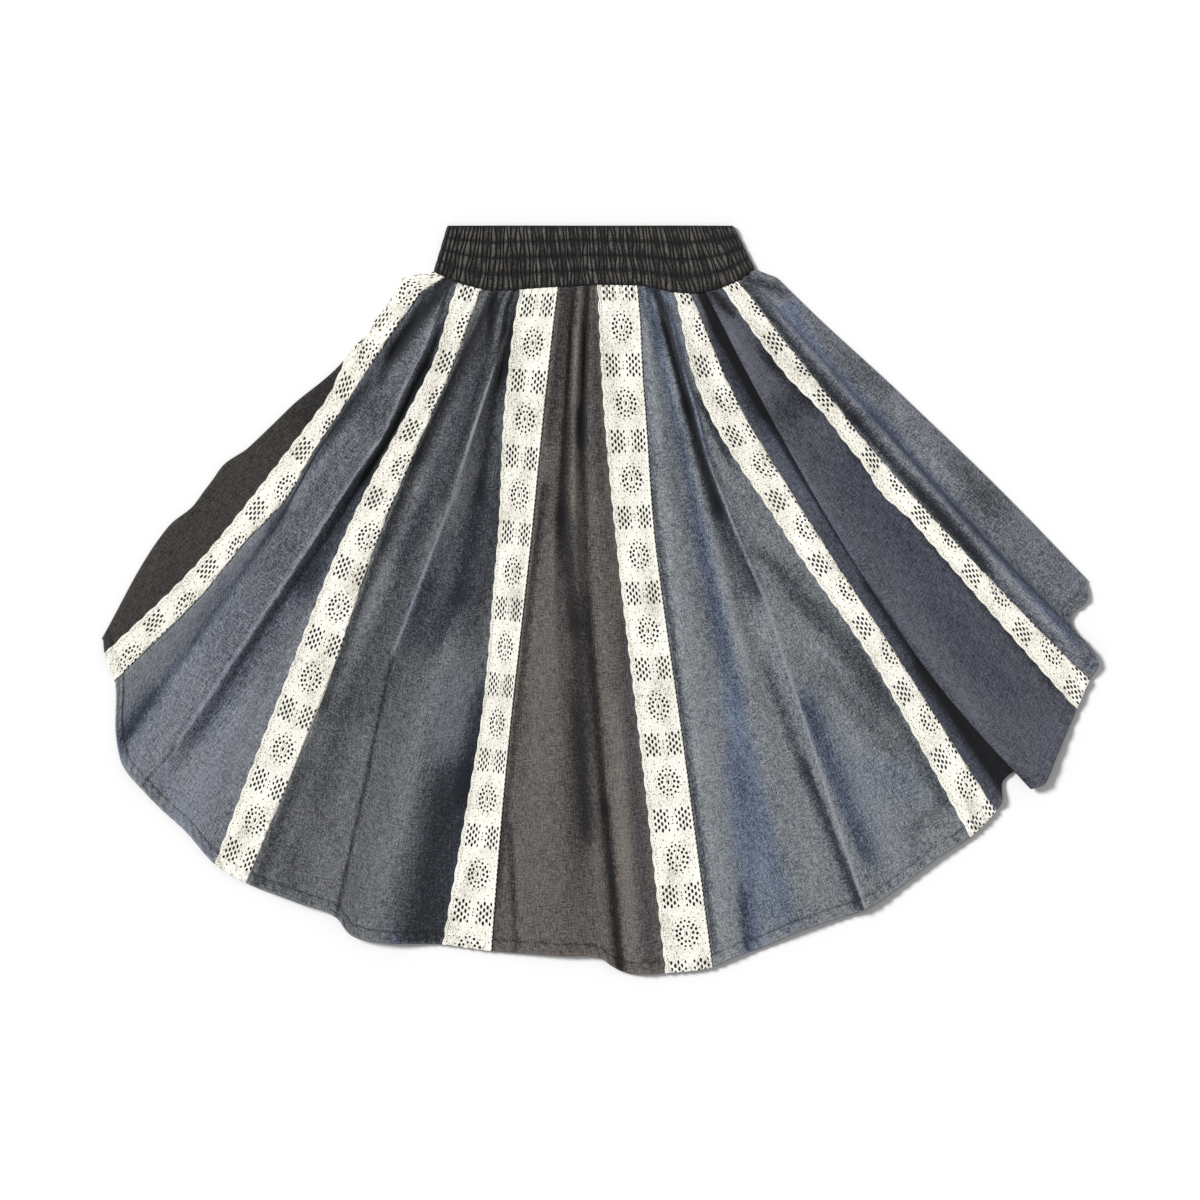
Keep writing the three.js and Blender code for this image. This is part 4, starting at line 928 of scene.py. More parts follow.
def lay_gore(node, start, end, slot):
    """A gore from one seam to another, its flat hem and length, and its area in metres."""
    first, last = place[start], place[end]
    across = columns_between(first, last if last > first else last + COLUMNS)
    length = float(line_length(across.mean() % COLUMNS))
    down = rows_between(length)
    mesh, column, row = grid_piece(node + "_cloth", len(across) - 1, len(down) - 1)
    net = cloth(across[None, :], down[:, None])
    for edge, sunk in EDGES_SUNK:
        net[:, edge] -= cloth_normal(across[edge], down) * sunk * MM
    mesh.vertices.foreach_set("co", net[row, column].ravel())
    steps = np.linalg.norm(np.diff(net, axis=1), axis=2)
    run = np.concatenate([np.zeros((len(down), 1)), np.cumsum(steps, axis=1)], axis=1)
    run -= run[:, -1:] / 2
    fall = np.broadcast_to(down[:, None] * length * MM, run.shape)
    give_map(mesh, "cloth", np.stack([run[row, column], -fall[row, column]], axis=1))
    to_hem = (1 - down[:, None]) * line_length(across)[None, :]
    tone, indigo = gore_tone(node, net, across, run, to_hem)
    give_tone(mesh, tone[row, column], indigo[row, column])
    mesh.shade_smooth()
    piece = finish_piece(node + "_cloth", mesh, node, cloths[slot])
    wall = piece.modifiers.new("thickness", "SOLIDIFY")
    wall.thickness = CLOTH_THICKNESS
    wall.offset = -1
    flat = (float(run[-1, -1] - run[-1, 0]), length * MM)
    quads = (steps[:-1] + steps[1:]) / 2 * np.diff(down)[:, None] * length * MM
    return piece, flat, float(quads.sum())


# node, seam it starts at, seam it ends at, slot
GORES = [
    ("gore_left", "back seam 6", "seam 1", "cloth_charcoal"),
    ("gore_front_1", "seam 1", "seam 2", "cloth_blue"),
    ("gore_front_2", "seam 2", "seam 3", "cloth_slate"),
    ("gore_front_3", "seam 3", "seam 4", "cloth_brown"),
    ("gore_front_4", "seam 4", "seam 5", "cloth_steel"),
    ("gore_front_5", "seam 5", "seam 6", "cloth_navy"),
    ("gore_right", "seam 6", "back seam 1", "cloth_blue"),
    ("gore_back_1", "back seam 1", "back seam 2", "cloth_slate"),
    ("gore_back_2", "back seam 2", "back seam 3", "cloth_charcoal"),
    ("gore_back_3", "back seam 3", "back seam 4", "cloth_steel"),
    ("gore_back_4", "back seam 4", "back seam 5", "cloth_navy"),
    ("gore_back_5", "back seam 5", "back seam 6", "cloth_blue"),
]

gores = {}
cuts = {}
for node, start, end, slot in GORES:
    gores[node], *cuts[node] = lay_gore(node, start, end, slot)

# %% [markdown]
# ## The lace
# The lace is a 45 mm cotton trim. Its chart repeats every 80 mm: a rosette of two rings of
# small holes round a slit, a band of plain ground, and a field of long mesh holes, with a
# scalloped border on the left. The holes are real: each is a small ring of points in a
# flat outline, and one fill joins them all into a sheet. A see-through texture would be
# lighter, but real holes also show the cloth, its shadow and the thickness of the trim.

# %% Chart one repeat of the lace
REPEAT = 80.0
REPEAT_START = -57.0         # where a repeat is cut, between the rosette and the mesh
LACE_STEP = 2.5
SCALLOP, SCALLOP_DEPTH = 20.0, 1.4
ROSETTE_MIDDLE = 24.5
MESH_MIDDLE = -REPEAT / 2    # half a repeat before the rosette
# rings of holes round the middle of the rosette, which is a slit itself: how many holes,
# half axes of the ring, half sizes of a hole, whether the holes are of uneven size and place
RINGS = [(1, 0, 0, 1.1, 2.7, False), (10, 5.8, 8.3, 1.45, 1.8, True),
         (15, 9.9, 13.1, 1.5, 1.8, True), (12, 13.3, 17.0, 0.85, 0.95, False)]
UNEVEN = 0.45                # how far the worker's hand moves a hole
SMALLER = 0.28               # how much smaller a ring's holes get at its two ends
# mesh columns: across, how many holes, half sizes of a hole
MESH_COLUMNS = [(6.9, 4, 1.25, 2.1), (10.2, 3, 1.35, 2.4), (13.5, 4, 1.3, 2.4),
                (16.8, 3, 1.25, 2.4), (19.9, 4, 0.95, 1.7), (24.2, 3, 0.65, 0.9),
                (28.4, 4, 0.95, 1.7), (31.6, 3, 1.25, 2.4), (34.9, 4, 1.3, 2.4),
                (38.2, 3, 1.35, 2.4), (41.4, 4, 1.05, 2.0)]
MESH_ROW = 6.9
# single small holes: across and along from the middle of the rosette
DOTS = [(12.6, -19.6), (38.0, -19.0), (24.6, -23.6), (41.6, -10.6), (41.2, 2.4), (41.0, 13.0),
        (12.8, 20.2), (37.4, 20.6), (24.4, 24.6), (9.6, -1.5), (8.4, 12.0), (9.0, -12.4),
        (24.2, -55.6), (14.2, -55.8), (34.0, -55.2)]
DOT_SIZE, SLIT_SIZE = (0.65, 0.75), (0.36, 1.15)
MESH_LEAN = 8                # degrees that a mesh hole leans at the most
BORDER_SLITS = 24            # short slanting slits beside the scalloped edge
SLITS = [(3.7, 38), (4.9, -30), (3.4, 62)]   # across and lean of three in a row
PICOT = 0.7                  # how deep the small notches of the straight border are
FINE_CUTS = np.arange(14.0, LACE_WIDTH, 2.8)   # where a tucked strip bends with the cloth


def scallop(along):
    return SCALLOP_DEPTH * (1 - np.abs(np.cos(np.pi * along / SCALLOP)))


def add_hole(bm, across, along, half_across, half_along, turn=0.0, sides=7):
    turned = Matrix.Rotation(math.radians(turn), 4, "Z")
    size = Matrix.Diagonal((half_across, half_along, 1, 1))
    where = Matrix.Translation((across, along, 0)) @ turned @ size
    bmesh.ops.create_circle(bm, cap_ends=False, segments=sides, radius=1, matrix=where)


def chart_repeat(tucked=False, plain=False):
    """The outline of one repeat with its holes, filled as one flat sheet."""
    bm = bmesh.new()
    low, high = REPEAT_START, REPEAT_START + REPEAT
    corners = [bm.verts.new((a, b, 0)) for a, b in
               ((0, low), (LACE_WIDTH, low), (LACE_WIDTH, high), (0, high))]
    sides = [bm.edges.new((corners[i], corners[(i + 1) % 4])) for i in range(4)]
    bmesh.ops.subdivide_edges(bm, edges=sides[1::2], cuts=round(REPEAT / LACE_STEP) - 1)
    bmesh.ops.subdivide_edges(bm, edges=sides[0::2], cuts=9)
    for vert in bm.verts:
        if vert.co.x == 0:
            vert.co.x = scallop(vert.co.y)
        elif vert.co.x == LACE_WIDTH and round(vert.co.y / LACE_STEP) % 2:
            vert.co.x -= PICOT
    for count, ring_across, ring_along, half_across, half_along, uneven in RINGS:
        stray = UNEVEN if uneven else 0
        for i in range(count):
            angle = 2 * math.pi * (i + 0.5) / count
            small = 1 - SMALLER + SMALLER * abs(math.sin(angle)) if uneven else 1
            across = ROSETTE_MIDDLE + ring_across * math.sin(angle) + stray * math.sin(7.0 * i)
            along = ring_along * math.cos(angle) + stray * math.cos(5.0 * i)
            add_hole(bm, across, along, half_across * small, half_along * small)
    for across, count, half_across, half_along in MESH_COLUMNS:
        pitch = MESH_ROW if half_along > 1 else MESH_ROW / 2
        for row in range(count):
            along = (row - (count - 1) / 2) * pitch
            lean = MESH_LEAN * math.sin(across + 2.0 * row)
            add_hole(bm, across, along + MESH_MIDDLE, half_across, half_along, lean, sides=8)
    for across, along in () if plain else DOTS:
        add_hole(bm, across, along, *DOT_SIZE, sides=6)
    for i in range(0 if plain else BORDER_SLITS):
        along = REPEAT_START + 1.8 + i * REPEAT / BORDER_SLITS
        across, lean = SLITS[i % len(SLITS)]
        add_hole(bm, across, along, *SLIT_SIZE, lean, sides=5)
    bmesh.ops.triangle_fill(bm, use_beauty=True, edges=bm.edges[:])
    for across in FINE_CUTS if tucked else ():
        bmesh.ops.bisect_plane(bm, geom=[*bm.verts, *bm.edges, *bm.faces], dist=0.0001,
                               plane_co=(across, 0, 0), plane_no=(1, 0, 0))
    return bm


trial = chart_repeat(tucked=True)
print("one repeat:", len(trial.verts), "points", len(trial.faces), "triangles")
trial.free()

# %% [markdown]
# ## Cords on the lace
# The thick threads that outline a lace stand above its ground. They are thin tubes: two
# along the scalloped border and one along the straight one, a thick oval round the slit
# and a wavy oval round the whole rosette.

# %% Add the outlining cords
LACE_THICKNESS = 0.7
CORD = 0.40
SCALLOP_CORDS = (0.7, 2.3)


def add_cord(bm, path, closed=False, radius=CORD, sides=4):
    """A tube through the points of path, made by pushing a small ring along it."""
    path = [Vector(point) for point in path]
    last = len(path) - 1
    along = Vector((0, 1, 0))
    way = (path[1] - path[last]).normalized() if closed else along
    ring_at = Matrix.Translation(path[0]) @ way.to_track_quat("Z", "X").to_matrix().to_4x4()
    made = bmesh.ops.create_circle(bm, cap_ends=False, segments=sides, radius=radius,
                                   matrix=ring_at)
    edges = first = list({e for v in made["verts"] for e in v.link_edges})
    for i in range(1, last + 1):
        grown = bmesh.ops.extrude_edge_only(bm, edges=edges)["geom"]
        verts = [g for g in grown if isinstance(g, bmesh.types.BMVert)]
        edges = [g for g in grown if isinstance(g, bmesh.types.BMEdge)
                 and g.verts[0] in verts and g.verts[1] in verts]
        if closed or i < last:
            onward = (path[(i + 1) % len(path)] - path[i - 1]).normalized()
        else:
            onward = along
        bmesh.ops.translate(bm, verts=verts, vec=path[i] - path[i - 1])
        turn = way.rotation_difference(onward).to_matrix()
        bmesh.ops.rotate(bm, verts=verts, cent=path[i], matrix=turn)
        way = onward
    if closed:
        bmesh.ops.bridge_loops(bm, edges=edges + first)


def oval(half_across, half_along, count, wave=0.0):
    """Points round the rosette, in and out by the part called wave."""
    points = []
    for i in range(count):
        angle = 2 * math.pi * i / count
        size = 1 + wave * math.cos(angle * count / 2)
        points.append((ROSETTE_MIDDLE + half_across * size * math.sin(angle),
                       half_along * size * math.cos(angle), LACE_THICKNESS))
    return points


def chart_cords():
    bm = bmesh.new()
    steps = np.arange(round(REPEAT / LACE_STEP) + 1) * LACE_STEP + REPEAT_START
    for across in SCALLOP_CORDS:
        add_cord(bm, [(across + scallop(b), b, LACE_THICKNESS) for b in steps])
    add_cord(bm, [(LACE_WIDTH - 1.1, b, LACE_THICKNESS) for b in steps])
    add_cord(bm, oval(2.7, 4.8, 16), closed=True, radius=2 * CORD)
    add_cord(bm, oval(15.0, 19.0, 24, 0.07), closed=True)
    return bm


trial = chart_cords()
print("cords of one repeat:", len(trial.faces), "faces")
trial.free()

# %% [markdown]
# ## The strips
# The strip is worked flat, repeat after repeat, cut to its length and thickened. Then it
# is laid on the cloth, along the real distance from the waist, so the holes keep their
# size. Two of the six lie open, and squeeze a little with their gore. The others keep
# their width too: the part that the next gore's fold covers is tucked under it, and the
# first one is wrapped round the side fold near the waist.

# %% Lay the strips of lace
LACE_LIFT, BACK_LACE_LIFT = 0.3, 0.1
FIRST_ROSETTE = [38, 44, 58, 44, 40, 36]   # how far the first rosette is from the waist
TUCKED = (1, 2, 5, 6)
TUCKED_UNDER = 3.0           # how far below the next gore's face the covered part lies
TUCKED_SHARE = 0.5           # how much of its own width the covered part takes
WRAPPED, WRAPPED_UNTIL = 15.0, 0.34   # the first strip's part round the side fold
NET_ROWS, NET_STEP, MIDDLE_STEPS = 130, 0.05, 500   # how finely the cloth is measured
NET_LEFT, NET_RIGHT = 7.0, 5.0   # columns measured on both sides of a strip
BACK_ROSETTE, BACK_STEP = 30, 9  # as FIRST_ROSETTE, and how much it grows from lace to lace


def repeated(chart, first, length):
    """The chart again and again along the strip, cut off at its two ends."""
    unit_mesh = mesh_of(chart, "repeat")
    bm = bmesh.new()
    start = first
    while start + REPEAT_START > 0:
        start -= REPEAT
    while start + REPEAT_START < length:
        known = len(bm.verts)
        bm.from_mesh(unit_mesh)
        bm.verts.ensure_lookup_table()
        bmesh.ops.translate(bm, verts=bm.verts[known:], vec=(0, start, 0))
        start += REPEAT
    bpy.data.meshes.remove(unit_mesh)
    bmesh.ops.remove_doubles(bm, verts=bm.verts, dist=0.002)
    for cut, way in ((0, -1), (length, 1)):
        bmesh.ops.bisect_plane(bm, geom=[*bm.verts, *bm.edges, *bm.faces], dist=0.0001,
                               plane_co=(0, cut, 0), plane_no=(0, way, 0), clear_outer=True)
    return bm


def lace_strip(name, first, length, with_cords, tucked):
    sheet = repeated(chart_repeat(tucked, plain=not with_cords), first, length)
    for face in sheet.faces:
        if face.normal.z < 0:
            face.normal_flip()
    bmesh.ops.solidify(sheet, geom=sheet.faces[:], thickness=-LACE_THICKNESS)
    bmesh.ops.recalc_face_normals(sheet, faces=sheet.faces)
    if with_cords:
        cords = repeated(chart_cords(), first, length)
        bmesh.ops.holes_fill(cords, edges=cords.edges, sides=0)
        bmesh.ops.recalc_face_normals(cords, faces=cords.faces)
        cord_mesh = mesh_of(cords, "cords")
        sheet.from_mesh(cord_mesh)
        bpy.data.meshes.remove(cord_mesh)
    return mesh_of(sheet, name)


def across_strip(column, across, v, wrapped):
    """Columns of a strip's points, and how far each is under the next gore, from 0 to 1."""
    levels = np.linspace(0, 1, NET_ROWS)
    steps = np.arange(column - NET_LEFT, column + NET_RIGHT, NET_STEP)
    net = cloth(steps[None, :], levels[:, None]) / MM
    run = np.cumsum(np.linalg.norm(np.diff(net, axis=1), axis=2), axis=1)
    run = np.concatenate([np.zeros((len(levels), 1)), run], axis=1)
    first, last = (int(np.argmin(np.abs(steps - k))) for k in (column, column + 1))
    run -= run[:, first:first + 1]
    start = np.zeros_like(v)
    if wrapped:
        start = WRAPPED * soft_step((WRAPPED_UNTIL - v) / 0.16)
    distance = across - start
    row = np.clip(v * (len(levels) - 1), 0, len(levels) - 1.001)
    low, part = row.astype(int), row - np.floor(row)
    room = run[low, last] * (1 - part) + run[low + 1, last] * part
    covered = np.clip(distance - room, 0, None)
    distance = distance - covered * (1 - TUCKED_SHARE)
    u = np.zeros_like(v)
    for k in range(len(levels) - 1):
        here = low == k
        if here.any():
            u[here] = ((1 - part[here]) * np.interp(distance[here], run[k], steps)
                       + part[here] * np.interp(distance[here], run[k + 1], steps))
    return u, soft_step((distance - room + 1.4) / 1.6)


def lay_lace(node, column, first, lift, with_cords, tucked=False, wrapped=False):
    """Lays a strip on the cloth from column to the next one."""
    parts = np.linspace(0, 1, MIDDLE_STEPS)
    middle = cloth(np.full(MIDDLE_STEPS, column + 0.5), parts) / MM
    run = np.append(0, np.cumsum(np.linalg.norm(np.diff(middle, axis=0), axis=1)))
    mesh = lace_strip(node + "_trim", first, run[-1], with_cords, tucked)
    flat = flat_points(mesh)
    u = column + flat[:, 0] / LACE_WIDTH
    v = np.interp(flat[:, 1], run, parts)
    out = flat[:, 2] + lift
    if tucked:
        u, under = across_strip(column, flat[:, 0], v, wrapped)
    laid = cloth(u, v) + cloth_normal(u, v) * (out * MM)[:, None]
    if tucked:
        laid[:, 2] -= under * TUCKED_UNDER * MM
        laid[:, 2] = np.maximum(laid[:, 2], 1.7 * under * MM)
    laid[:, 2] = np.maximum(laid[:, 2], 0.05 * MM)
    mesh.vertices.foreach_set("co", laid.ravel())
    give_map(mesh, "cloth", flat[:, :2] * MM)
    smooth_by_angle(mesh, 40)
    trim = finish_piece(node + "_trim", mesh, node, lace_cotton)
    return trim


def ramped(tree, amount, stops):
    """A colour picked by amount from stops, each a position and a colour as 0 to 255."""
    ramp = add_node(tree, "ShaderNodeValToRGB")
    elements = ramp.color_ramp.elements
    for element, (position, colour) in zip((elements[0], elements[1]), (stops[0], stops[-1])):
        element.position = position
        element.color = linear(*colour)
    for position, colour in stops[1:-1]:
        elements.new(position).color = linear(*colour)
    tree.links.new(amount, ramp.inputs["Fac"])
    return ramp.outputs["Color"]


def make_lace_cotton():
    material, tree, shader = new_finish("lace cotton", Roughness=0.85, Specular_IOR_Level=0.3,
                                        Sheen_Weight=0.1)
    placed = add_node(tree, "ShaderNodeUVMap", uv_map="cloth").outputs["UV"]
    threads = stretched_noise(tree, placed, 0.0007, 0.005)
    knots = stretched_noise(tree, placed, 0.0012, 0.0016)
    aged = stretched_noise(tree, placed, 0.02, 0.05, 2.0)
    both = maths(tree, "MULTIPLY", maths(tree, "ADD", threads, knots), 0.5)
    amount = maths(tree, "ADD", maths(tree, "MULTIPLY", both, 0.8),
                   maths(tree, "MULTIPLY", aged, 0.3))
    colour = ramped(tree, amount, [(0.40, (172, 168, 154)), (0.48, (228, 225, 211)),
                                   (0.60, (254, 252, 243))])
    tree.links.new(colour, shader.inputs["Base Color"])
    add_bump(tree, shader, both, 0.0003)
    return material


lace_cotton = make_lace_cotton()
laces = {}
for number, first in enumerate(FIRST_ROSETTE, start=1):
    node = f"lace_front_{number}"
    laces[node] = lay_lace(node, place[f"lace {number}"], first, LACE_LIFT, True,
                           number in TUCKED, number == 1)
    print(node, "faces", len(laces[node].data.polygons))
for number in SEAM_NUMBERS:
    node = f"lace_back_{number}"
    column = place[f"back seam {number}"] - 1
    first = BACK_ROSETTE + BACK_STEP * number
    laces[node] = lay_lace(node, column, first, BACK_LACE_LIFT, False)
print("lace_back faces", len(laces["lace_back_6"].data.polygons))

# %% [markdown]
# ## The smocked band
# The band is a strip of denim gathered on rows of elastic thread. Between two rows the
# cloth stands up in small upright pleats, and each row pinches them and shifts them a
# little. The band is one closed tube: a grid whose two ends meet, with six columns to a
# pleat, that goes up the outside, over the top edge and down the plain inside.

# %% Gather the band
GATHERS = 150                # round the whole band
TO_A_GATHER = 6
BAND_VALLEY = 5.4            # height of the front face between two pleats
BAND_HALF_WIDTH = 160.0
BAND_DEPTH = 63.0
BAND_GAP = 0.4
BAND_WALL = 1.0
ELASTIC_ROWS = np.array([0, 16.0, 31.5, 47.0, 63.0]) / BAND_DEPTH   # from the seam up
PLEAT = 2.3
PINCH = 0.55                 # how far an elastic row draws the pleats in
OUTSIDE_ROWS = 45
# level and side of the rows over the top edge, down the inside and back: 1 is outside
INSIDE = [(1.008, 0.2), (1.008, -0.5), (0.99, -1.0), (0.5, -1.0), (0.01, -1.0),
          (-0.005, -0.5), (-0.005, 0.2), (0, 1.0)]
BAND_ENDS = (-47.2, 43.6)    # bearings of the band's two ends
BAND_FOLD = 0.6              # how high the middle of its side folds is lifted

random = np.random.default_rng(7)
pleat_shift = random.uniform(-0.48, 0.48, (len(ELASTIC_ROWS), GATHERS + 1))
pleat_size = random.uniform(0.5, 1.12, (len(ELASTIC_ROWS), GATHERS + 1))
for table in (pleat_shift, pleat_size):
    table[:, -1] = table[:, 0]


def waist_line(front):
    """Bearing and radius of the skirt's top edge, front or back."""
    columns = np.arange(0, COLUMNS, 0.25)
    edge = bare_cloth(columns, np.zeros(len(columns)))
    edge = edge[edge[:, 2] >= FLAT_FRONT / 2] if front else edge[edge[:, 2] <= FLAT_FRONT / 2]
    bearing = np.degrees(np.arctan2(edge[:, 0], -edge[:, 1]))
    order = np.argsort(bearing)
    return bearing[order], np.hypot(edge[:, 0], edge[:, 1])[order]


def in_channel(level):
    """The elastic row below a level, and how far the level is on its way to the next."""
    row = np.clip(np.searchsorted(ELASTIC_ROWS, level) - 1, 0, len(ELASTIC_ROWS) - 2)
    return row, (level - ELASTIC_ROWS[row]) / (ELASTIC_ROWS[row + 1] - ELASTIC_ROWS[row])


def between_rows(table, level, gather):
    """A value of the table for each pleat, eased from one elastic row to the next."""
    row, part = in_channel(level)
    t = soft_step(part)
    return table[row, gather] * (1 - t) + table[row + 1, gather] * t


def channel_puff(level):
    return np.sin(np.pi * np.clip(in_channel(level)[1], 0, 1)) ** 0.5


def band_point(turn, level, out):
    """A point of the band: turn runs once round it, level from the seam to the top."""
    left, right = (abs(float(drawn_in(np.array(end), np.array(0.0)))) for end in BAND_ENDS)
    half = BAND_VALLEY / 2
    phase = (turn % 1) * 2
    front = phase < 1
    side = np.where(front, phase * 2 - 1, 3 - phase * 2)
    room = (1 - np.abs(side)) * BAND_HALF_WIDTH
    lift = np.sqrt(1 - (1 - np.clip(room / half, 0, 1)) ** 2)
    wide = side + np.sign(side) * (1 - lift) * out / BAND_HALF_WIDTH
    bearing = np.where(wide < 0, wide * left, wide * right)
    radius = np.where(front, np.interp(bearing, *waist_edges[0]),
                      np.interp(bearing, *waist_edges[1])) - BAND_GAP
    part = (wide + 1) / 2
    low = polar(bearing, radius, np.zeros_like(radius))
    high = np.stack([BAND_TOP_LEFT * (1 - part) + BAND_TOP_RIGHT * part,
                     np.full_like(part, BAND_TOP_Y), np.zeros_like(part)], axis=-1)
    point = low * (1 - level)[..., None] + high * level[..., None]
    height = half + BAND_FOLD + np.where(front, 1, -1) * lift * (half - BAND_FOLD + out)
    point[..., 2] = np.maximum(height, 0)
    return point


def gather_band():
    """The band's grid, where each vertex is in it, and a tone for each place by how deep or high
    it lies: painted light on the pleat tops, painted shade in the valleys and at the rows.
    """
    rows = [(level, 1.0) for level in np.linspace(0, 1, OUTSIDE_ROWS)] + INSIDE
    wide, tall = GATHERS * TO_A_GATHER, len(rows) - 1
    mesh, column, row = grid_piece("waistband_smocked", wide, tall)
    gather = np.arange(wide + 1) // TO_A_GATHER
    part = (np.arange(wide + 1) % TO_A_GATHER) / TO_A_GATHER
    net = np.zeros((tall + 1, wide + 1, 3))
    pleat_shading = np.full((tall + 1, wide + 1), 0.3)
    for k, (level, outside) in enumerate(rows):
        height = np.full(wide + 1, np.clip(level, 0, 1))
        near = between_rows(pleat_shift, height, gather % GATHERS)
        far = between_rows(pleat_shift, height, (gather + 1) % GATHERS)
        side_fold = soft_step(np.minimum(gather % (GATHERS // 2),
                                         GATHERS // 2 - gather % (GATHERS // 2)) / 4)
        turn = (gather + part + (near * (1 - part) + far * part) * side_fold) / GATHERS
        size = between_rows(pleat_size, height, gather % GATHERS)
        puff = 1 - PINCH + PINCH * channel_puff(height)
        pleat = np.sin(np.pi * part) ** 0.7 * size * puff
        out = PLEAT * pleat + 0.5 * channel_puff(height) - 0.3
        if outside >= 1:
            # painted light and shade: pale pleat tops, dark valleys and dark pinched rows
            pleat_shading[k] = 0.95 * pleat**1.7 - 0.08 - 0.2 * (1 - channel_puff(height))
        out = np.where(outside >= 1, out, np.where(outside > -1, out * 0.5, 0))
        out = out - BAND_WALL * (1 - outside) / 2
        net[k] = band_point(turn, np.full(wide + 1, level), out)
    mesh.vertices.foreach_set("co", (net[row, column] * MM + np.array(pole)).ravel())
    return mesh, column, row, pleat_shading


waist_edges = (waist_line(True), waist_line(False))
band_mesh, column, row, band_shading = gather_band()
CUT_ROUND, CUT_HIGH = 0.9, 0.066   # what shows of the strip, before it was gathered
BOTH_FACES = 2 * CUT_HIGH
give_map(band_mesh, "cloth", np.stack(
    [column / column.max() * CUT_ROUND, row / row.max() * BOTH_FACES], axis=1))
# the band's tone is painted light and shade from the pleats
give_tone(band_mesh, band_shading[row, column], np.zeros(len(band_mesh.vertices)))
bm = bmesh.new()
bm.from_mesh(band_mesh)
bmesh.ops.remove_doubles(bm, verts=bm.verts, dist=1e-6)
bm.to_mesh(band_mesh)
bm.free()
smooth_by_angle(band_mesh, 75)
band = finish_piece("waistband_smocked", band_mesh, "waistband", cloths["band"])
print("band faces:", len(band_mesh.polygons))

# %% [markdown]
# ## Stitching
# The turned hem is held by one line of machine stitches. Each stitch is a small capsule,
# and hundreds of them are joined in one mesh, so they stay cheap.

# %% Sew the hem
STITCH_PITCH = 3.3
STITCH_LENGTH, STITCH_WIDTH = 2.4, 0.6
SEAM_STEPS = 4000            # how finely a seam is measured
SIDE_START, SIDE_END = 4.5, 5.5   # columns that the front's line keeps from the sides


def sew_line(name, starts, ends, from_hem, raised, material):
    """Stitches from each start column to its end, at a height above the cloth."""
    bm = bmesh.new()
    half = STITCH_WIDTH / 2 * MM
    size = Matrix.Diagonal((STITCH_LENGTH / 2 * MM, half, half, 1))
    for start, end in zip(starts, ends):
        fine = np.linspace(start, end, SEAM_STEPS)
        v = 1 - from_hem / line_length(fine)
        line = cloth(fine, v)
        run = np.append(0, np.cumsum(np.linalg.norm(np.diff(line, axis=0), axis=1))) / MM
        spots = np.arange(STITCH_PITCH / 2, run[-1], STITCH_PITCH)
        u = np.interp(spots, run, fine)
        v = 1 - from_hem / line_length(u)
        middle, up = cloth(u, v), cloth_normal(u, v)
        way = unit(cloth(u + 0.01, v) - cloth(u - 0.01, v))
        for spot, normal, along in zip(middle, up, way):
            side = Vector(normal).cross(Vector(along))
            frame_of = Matrix((Vector(along), side, Vector(normal))).transposed().to_4x4()
            where = Matrix.Translation(Vector(spot) + Vector(normal) * raised * MM)
            bmesh.ops.create_icosphere(bm, subdivisions=1, radius=1,
                                       matrix=where @ frame_of @ size)
    mesh = mesh_of(bm, name)
    mesh.shade_smooth()
    return finish_piece(name, mesh, None, material)


def make_thread(name, colour):
    material, tree, shader = new_finish(name, Roughness=0.7)
    placed = add_node(tree, "ShaderNodeTexCoord")
    fibre = stretched_noise(tree, placed.outputs["Object"], 0.0004, 0.0004)
    darker = [part * 0.7 for part in colour]
    spun = ramped(tree, fibre, [(0.0, darker), (1.0, colour)])
    tree.links.new(spun, shader.inputs["Base Color"])
    return material


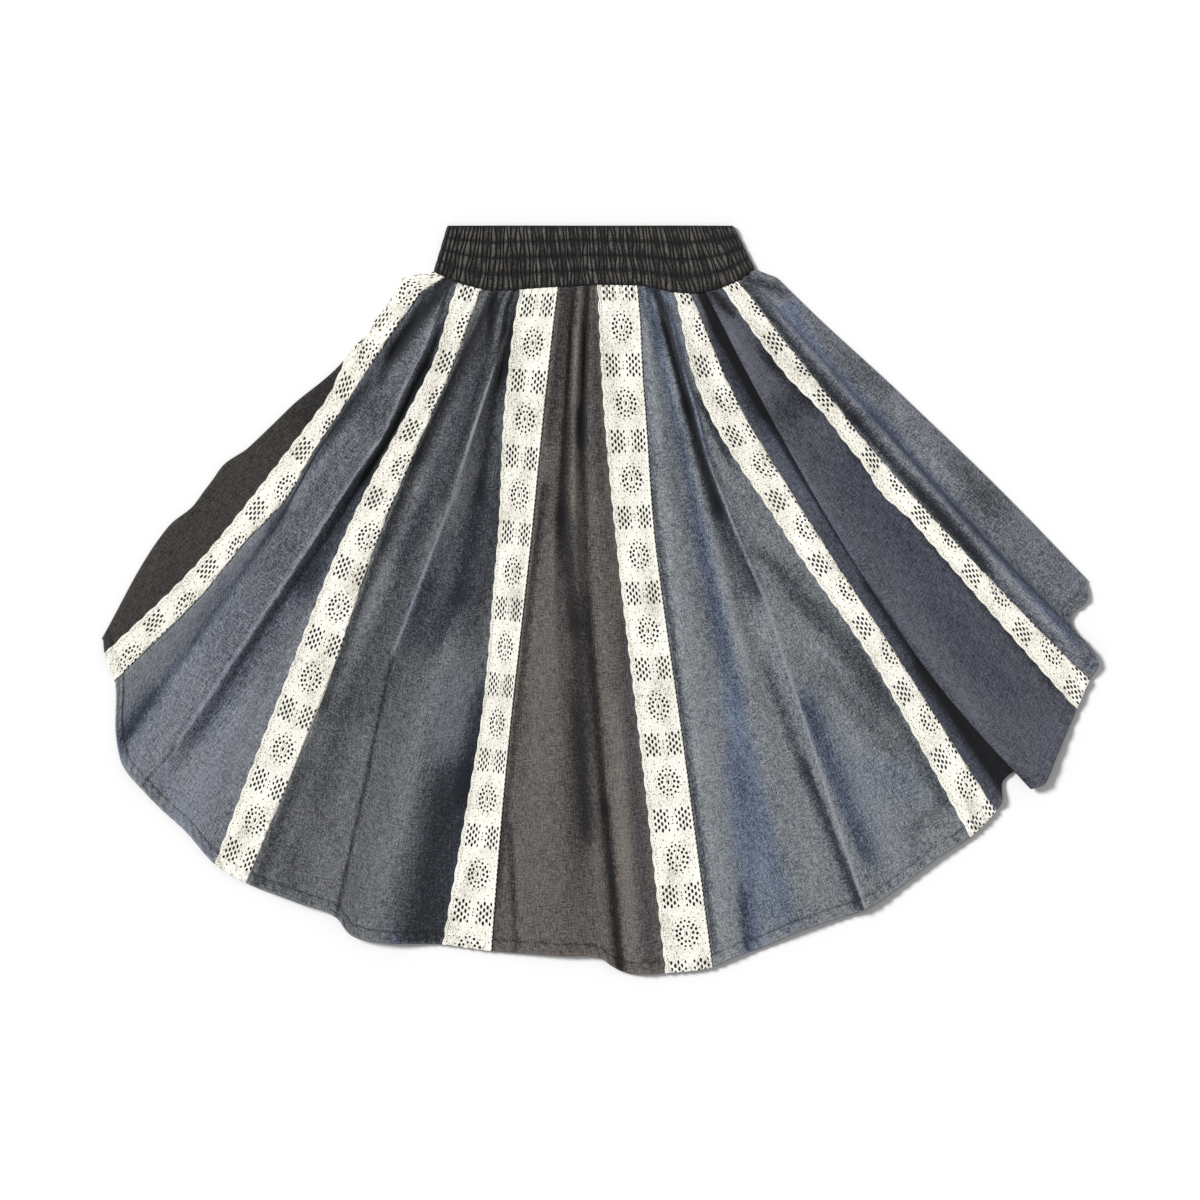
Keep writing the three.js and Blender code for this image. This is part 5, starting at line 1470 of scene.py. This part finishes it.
dark_thread = make_thread("dark thread", (52, 52, 58))
cloth_from = [SIDE_START] + [place[f"seam {n}"] for n in SEAM_NUMBERS]
cloth_to = [place[f"lace {n}"] for n in SEAM_NUMBERS] + [first_back - SIDE_END]
stitches = sew_line("hem_stitches_front", cloth_from, cloth_to, HEM_TURN, 0.1, dark_thread)
lace_from = [place[f"lace {n}"] + 0.02 for n in SEAM_NUMBERS]
lace_to = [place[f"seam {n}"] - 0.05 for n in SEAM_NUMBERS]
over_lace = LACE_LIFT + LACE_THICKNESS + 0.05
sew_line("hem_stitches_lace", lace_from, lace_to, HEM_TURN, over_lace, dark_thread)
back_from = [place[f"back seam {n}"] for n in SEAM_NUMBERS[:-1]]
back_to = [place[f"back seam {n + 1}"] - 1 for n in SEAM_NUMBERS[:-1]]
sew_line("hem_stitches_back", back_from, back_to, HEM_TURN, 0.0, dark_thread)
print("stitches of the front:", len(stitches.data.polygons) // 20)

# %% [markdown]
# ## Floor and light
# A pale floor and soft light, with the main light low on the waist's left, so each fold
# shows by its own shade.

# %% Light the skirt
SUN_ELEVATION, SUN_FROM_LEFT = 42.0, 62.0
SUN_STRENGTH, SKY_STRENGTH = 3.3, 0.38
SUN_SIZE = 18.0

bm = bmesh.new()
bmesh.ops.create_grid(bm, x_segments=1, y_segments=1, size=15)
floor = add_object("floor", mesh_of(bm, "floor"))
floor_finish, *_ = new_finish("pale floor", Base_Color=(0.93, 0.93, 0.93, 1), Roughness=1.0)
floor.data.materials.append(floor_finish)

sun_data = bpy.data.lights.new("sun", "SUN")
sun_data.energy = SUN_STRENGTH
sun_data.angle = math.radians(SUN_SIZE)
sun = add_object("sun", sun_data)
elevation, around = math.radians(SUN_ELEVATION), math.radians(SUN_FROM_LEFT)
toward = Vector((-math.cos(elevation) * math.sin(around),
                 math.cos(elevation) * math.cos(around), math.sin(elevation)))
sun.rotation_euler = toward.to_track_quat("Z", "Y").to_euler()
world = bpy.data.worlds.new("studio")
world.use_nodes = True
world.node_tree.nodes["Background"].inputs["Color"].default_value = (1, 1, 1, 1)
world.node_tree.nodes["Background"].inputs["Strength"].default_value = SKY_STRENGTH
bpy.context.scene.world = world
bpy.context.scene.view_settings.view_transform = "Standard"
bpy.context.scene.view_settings.look = "None"
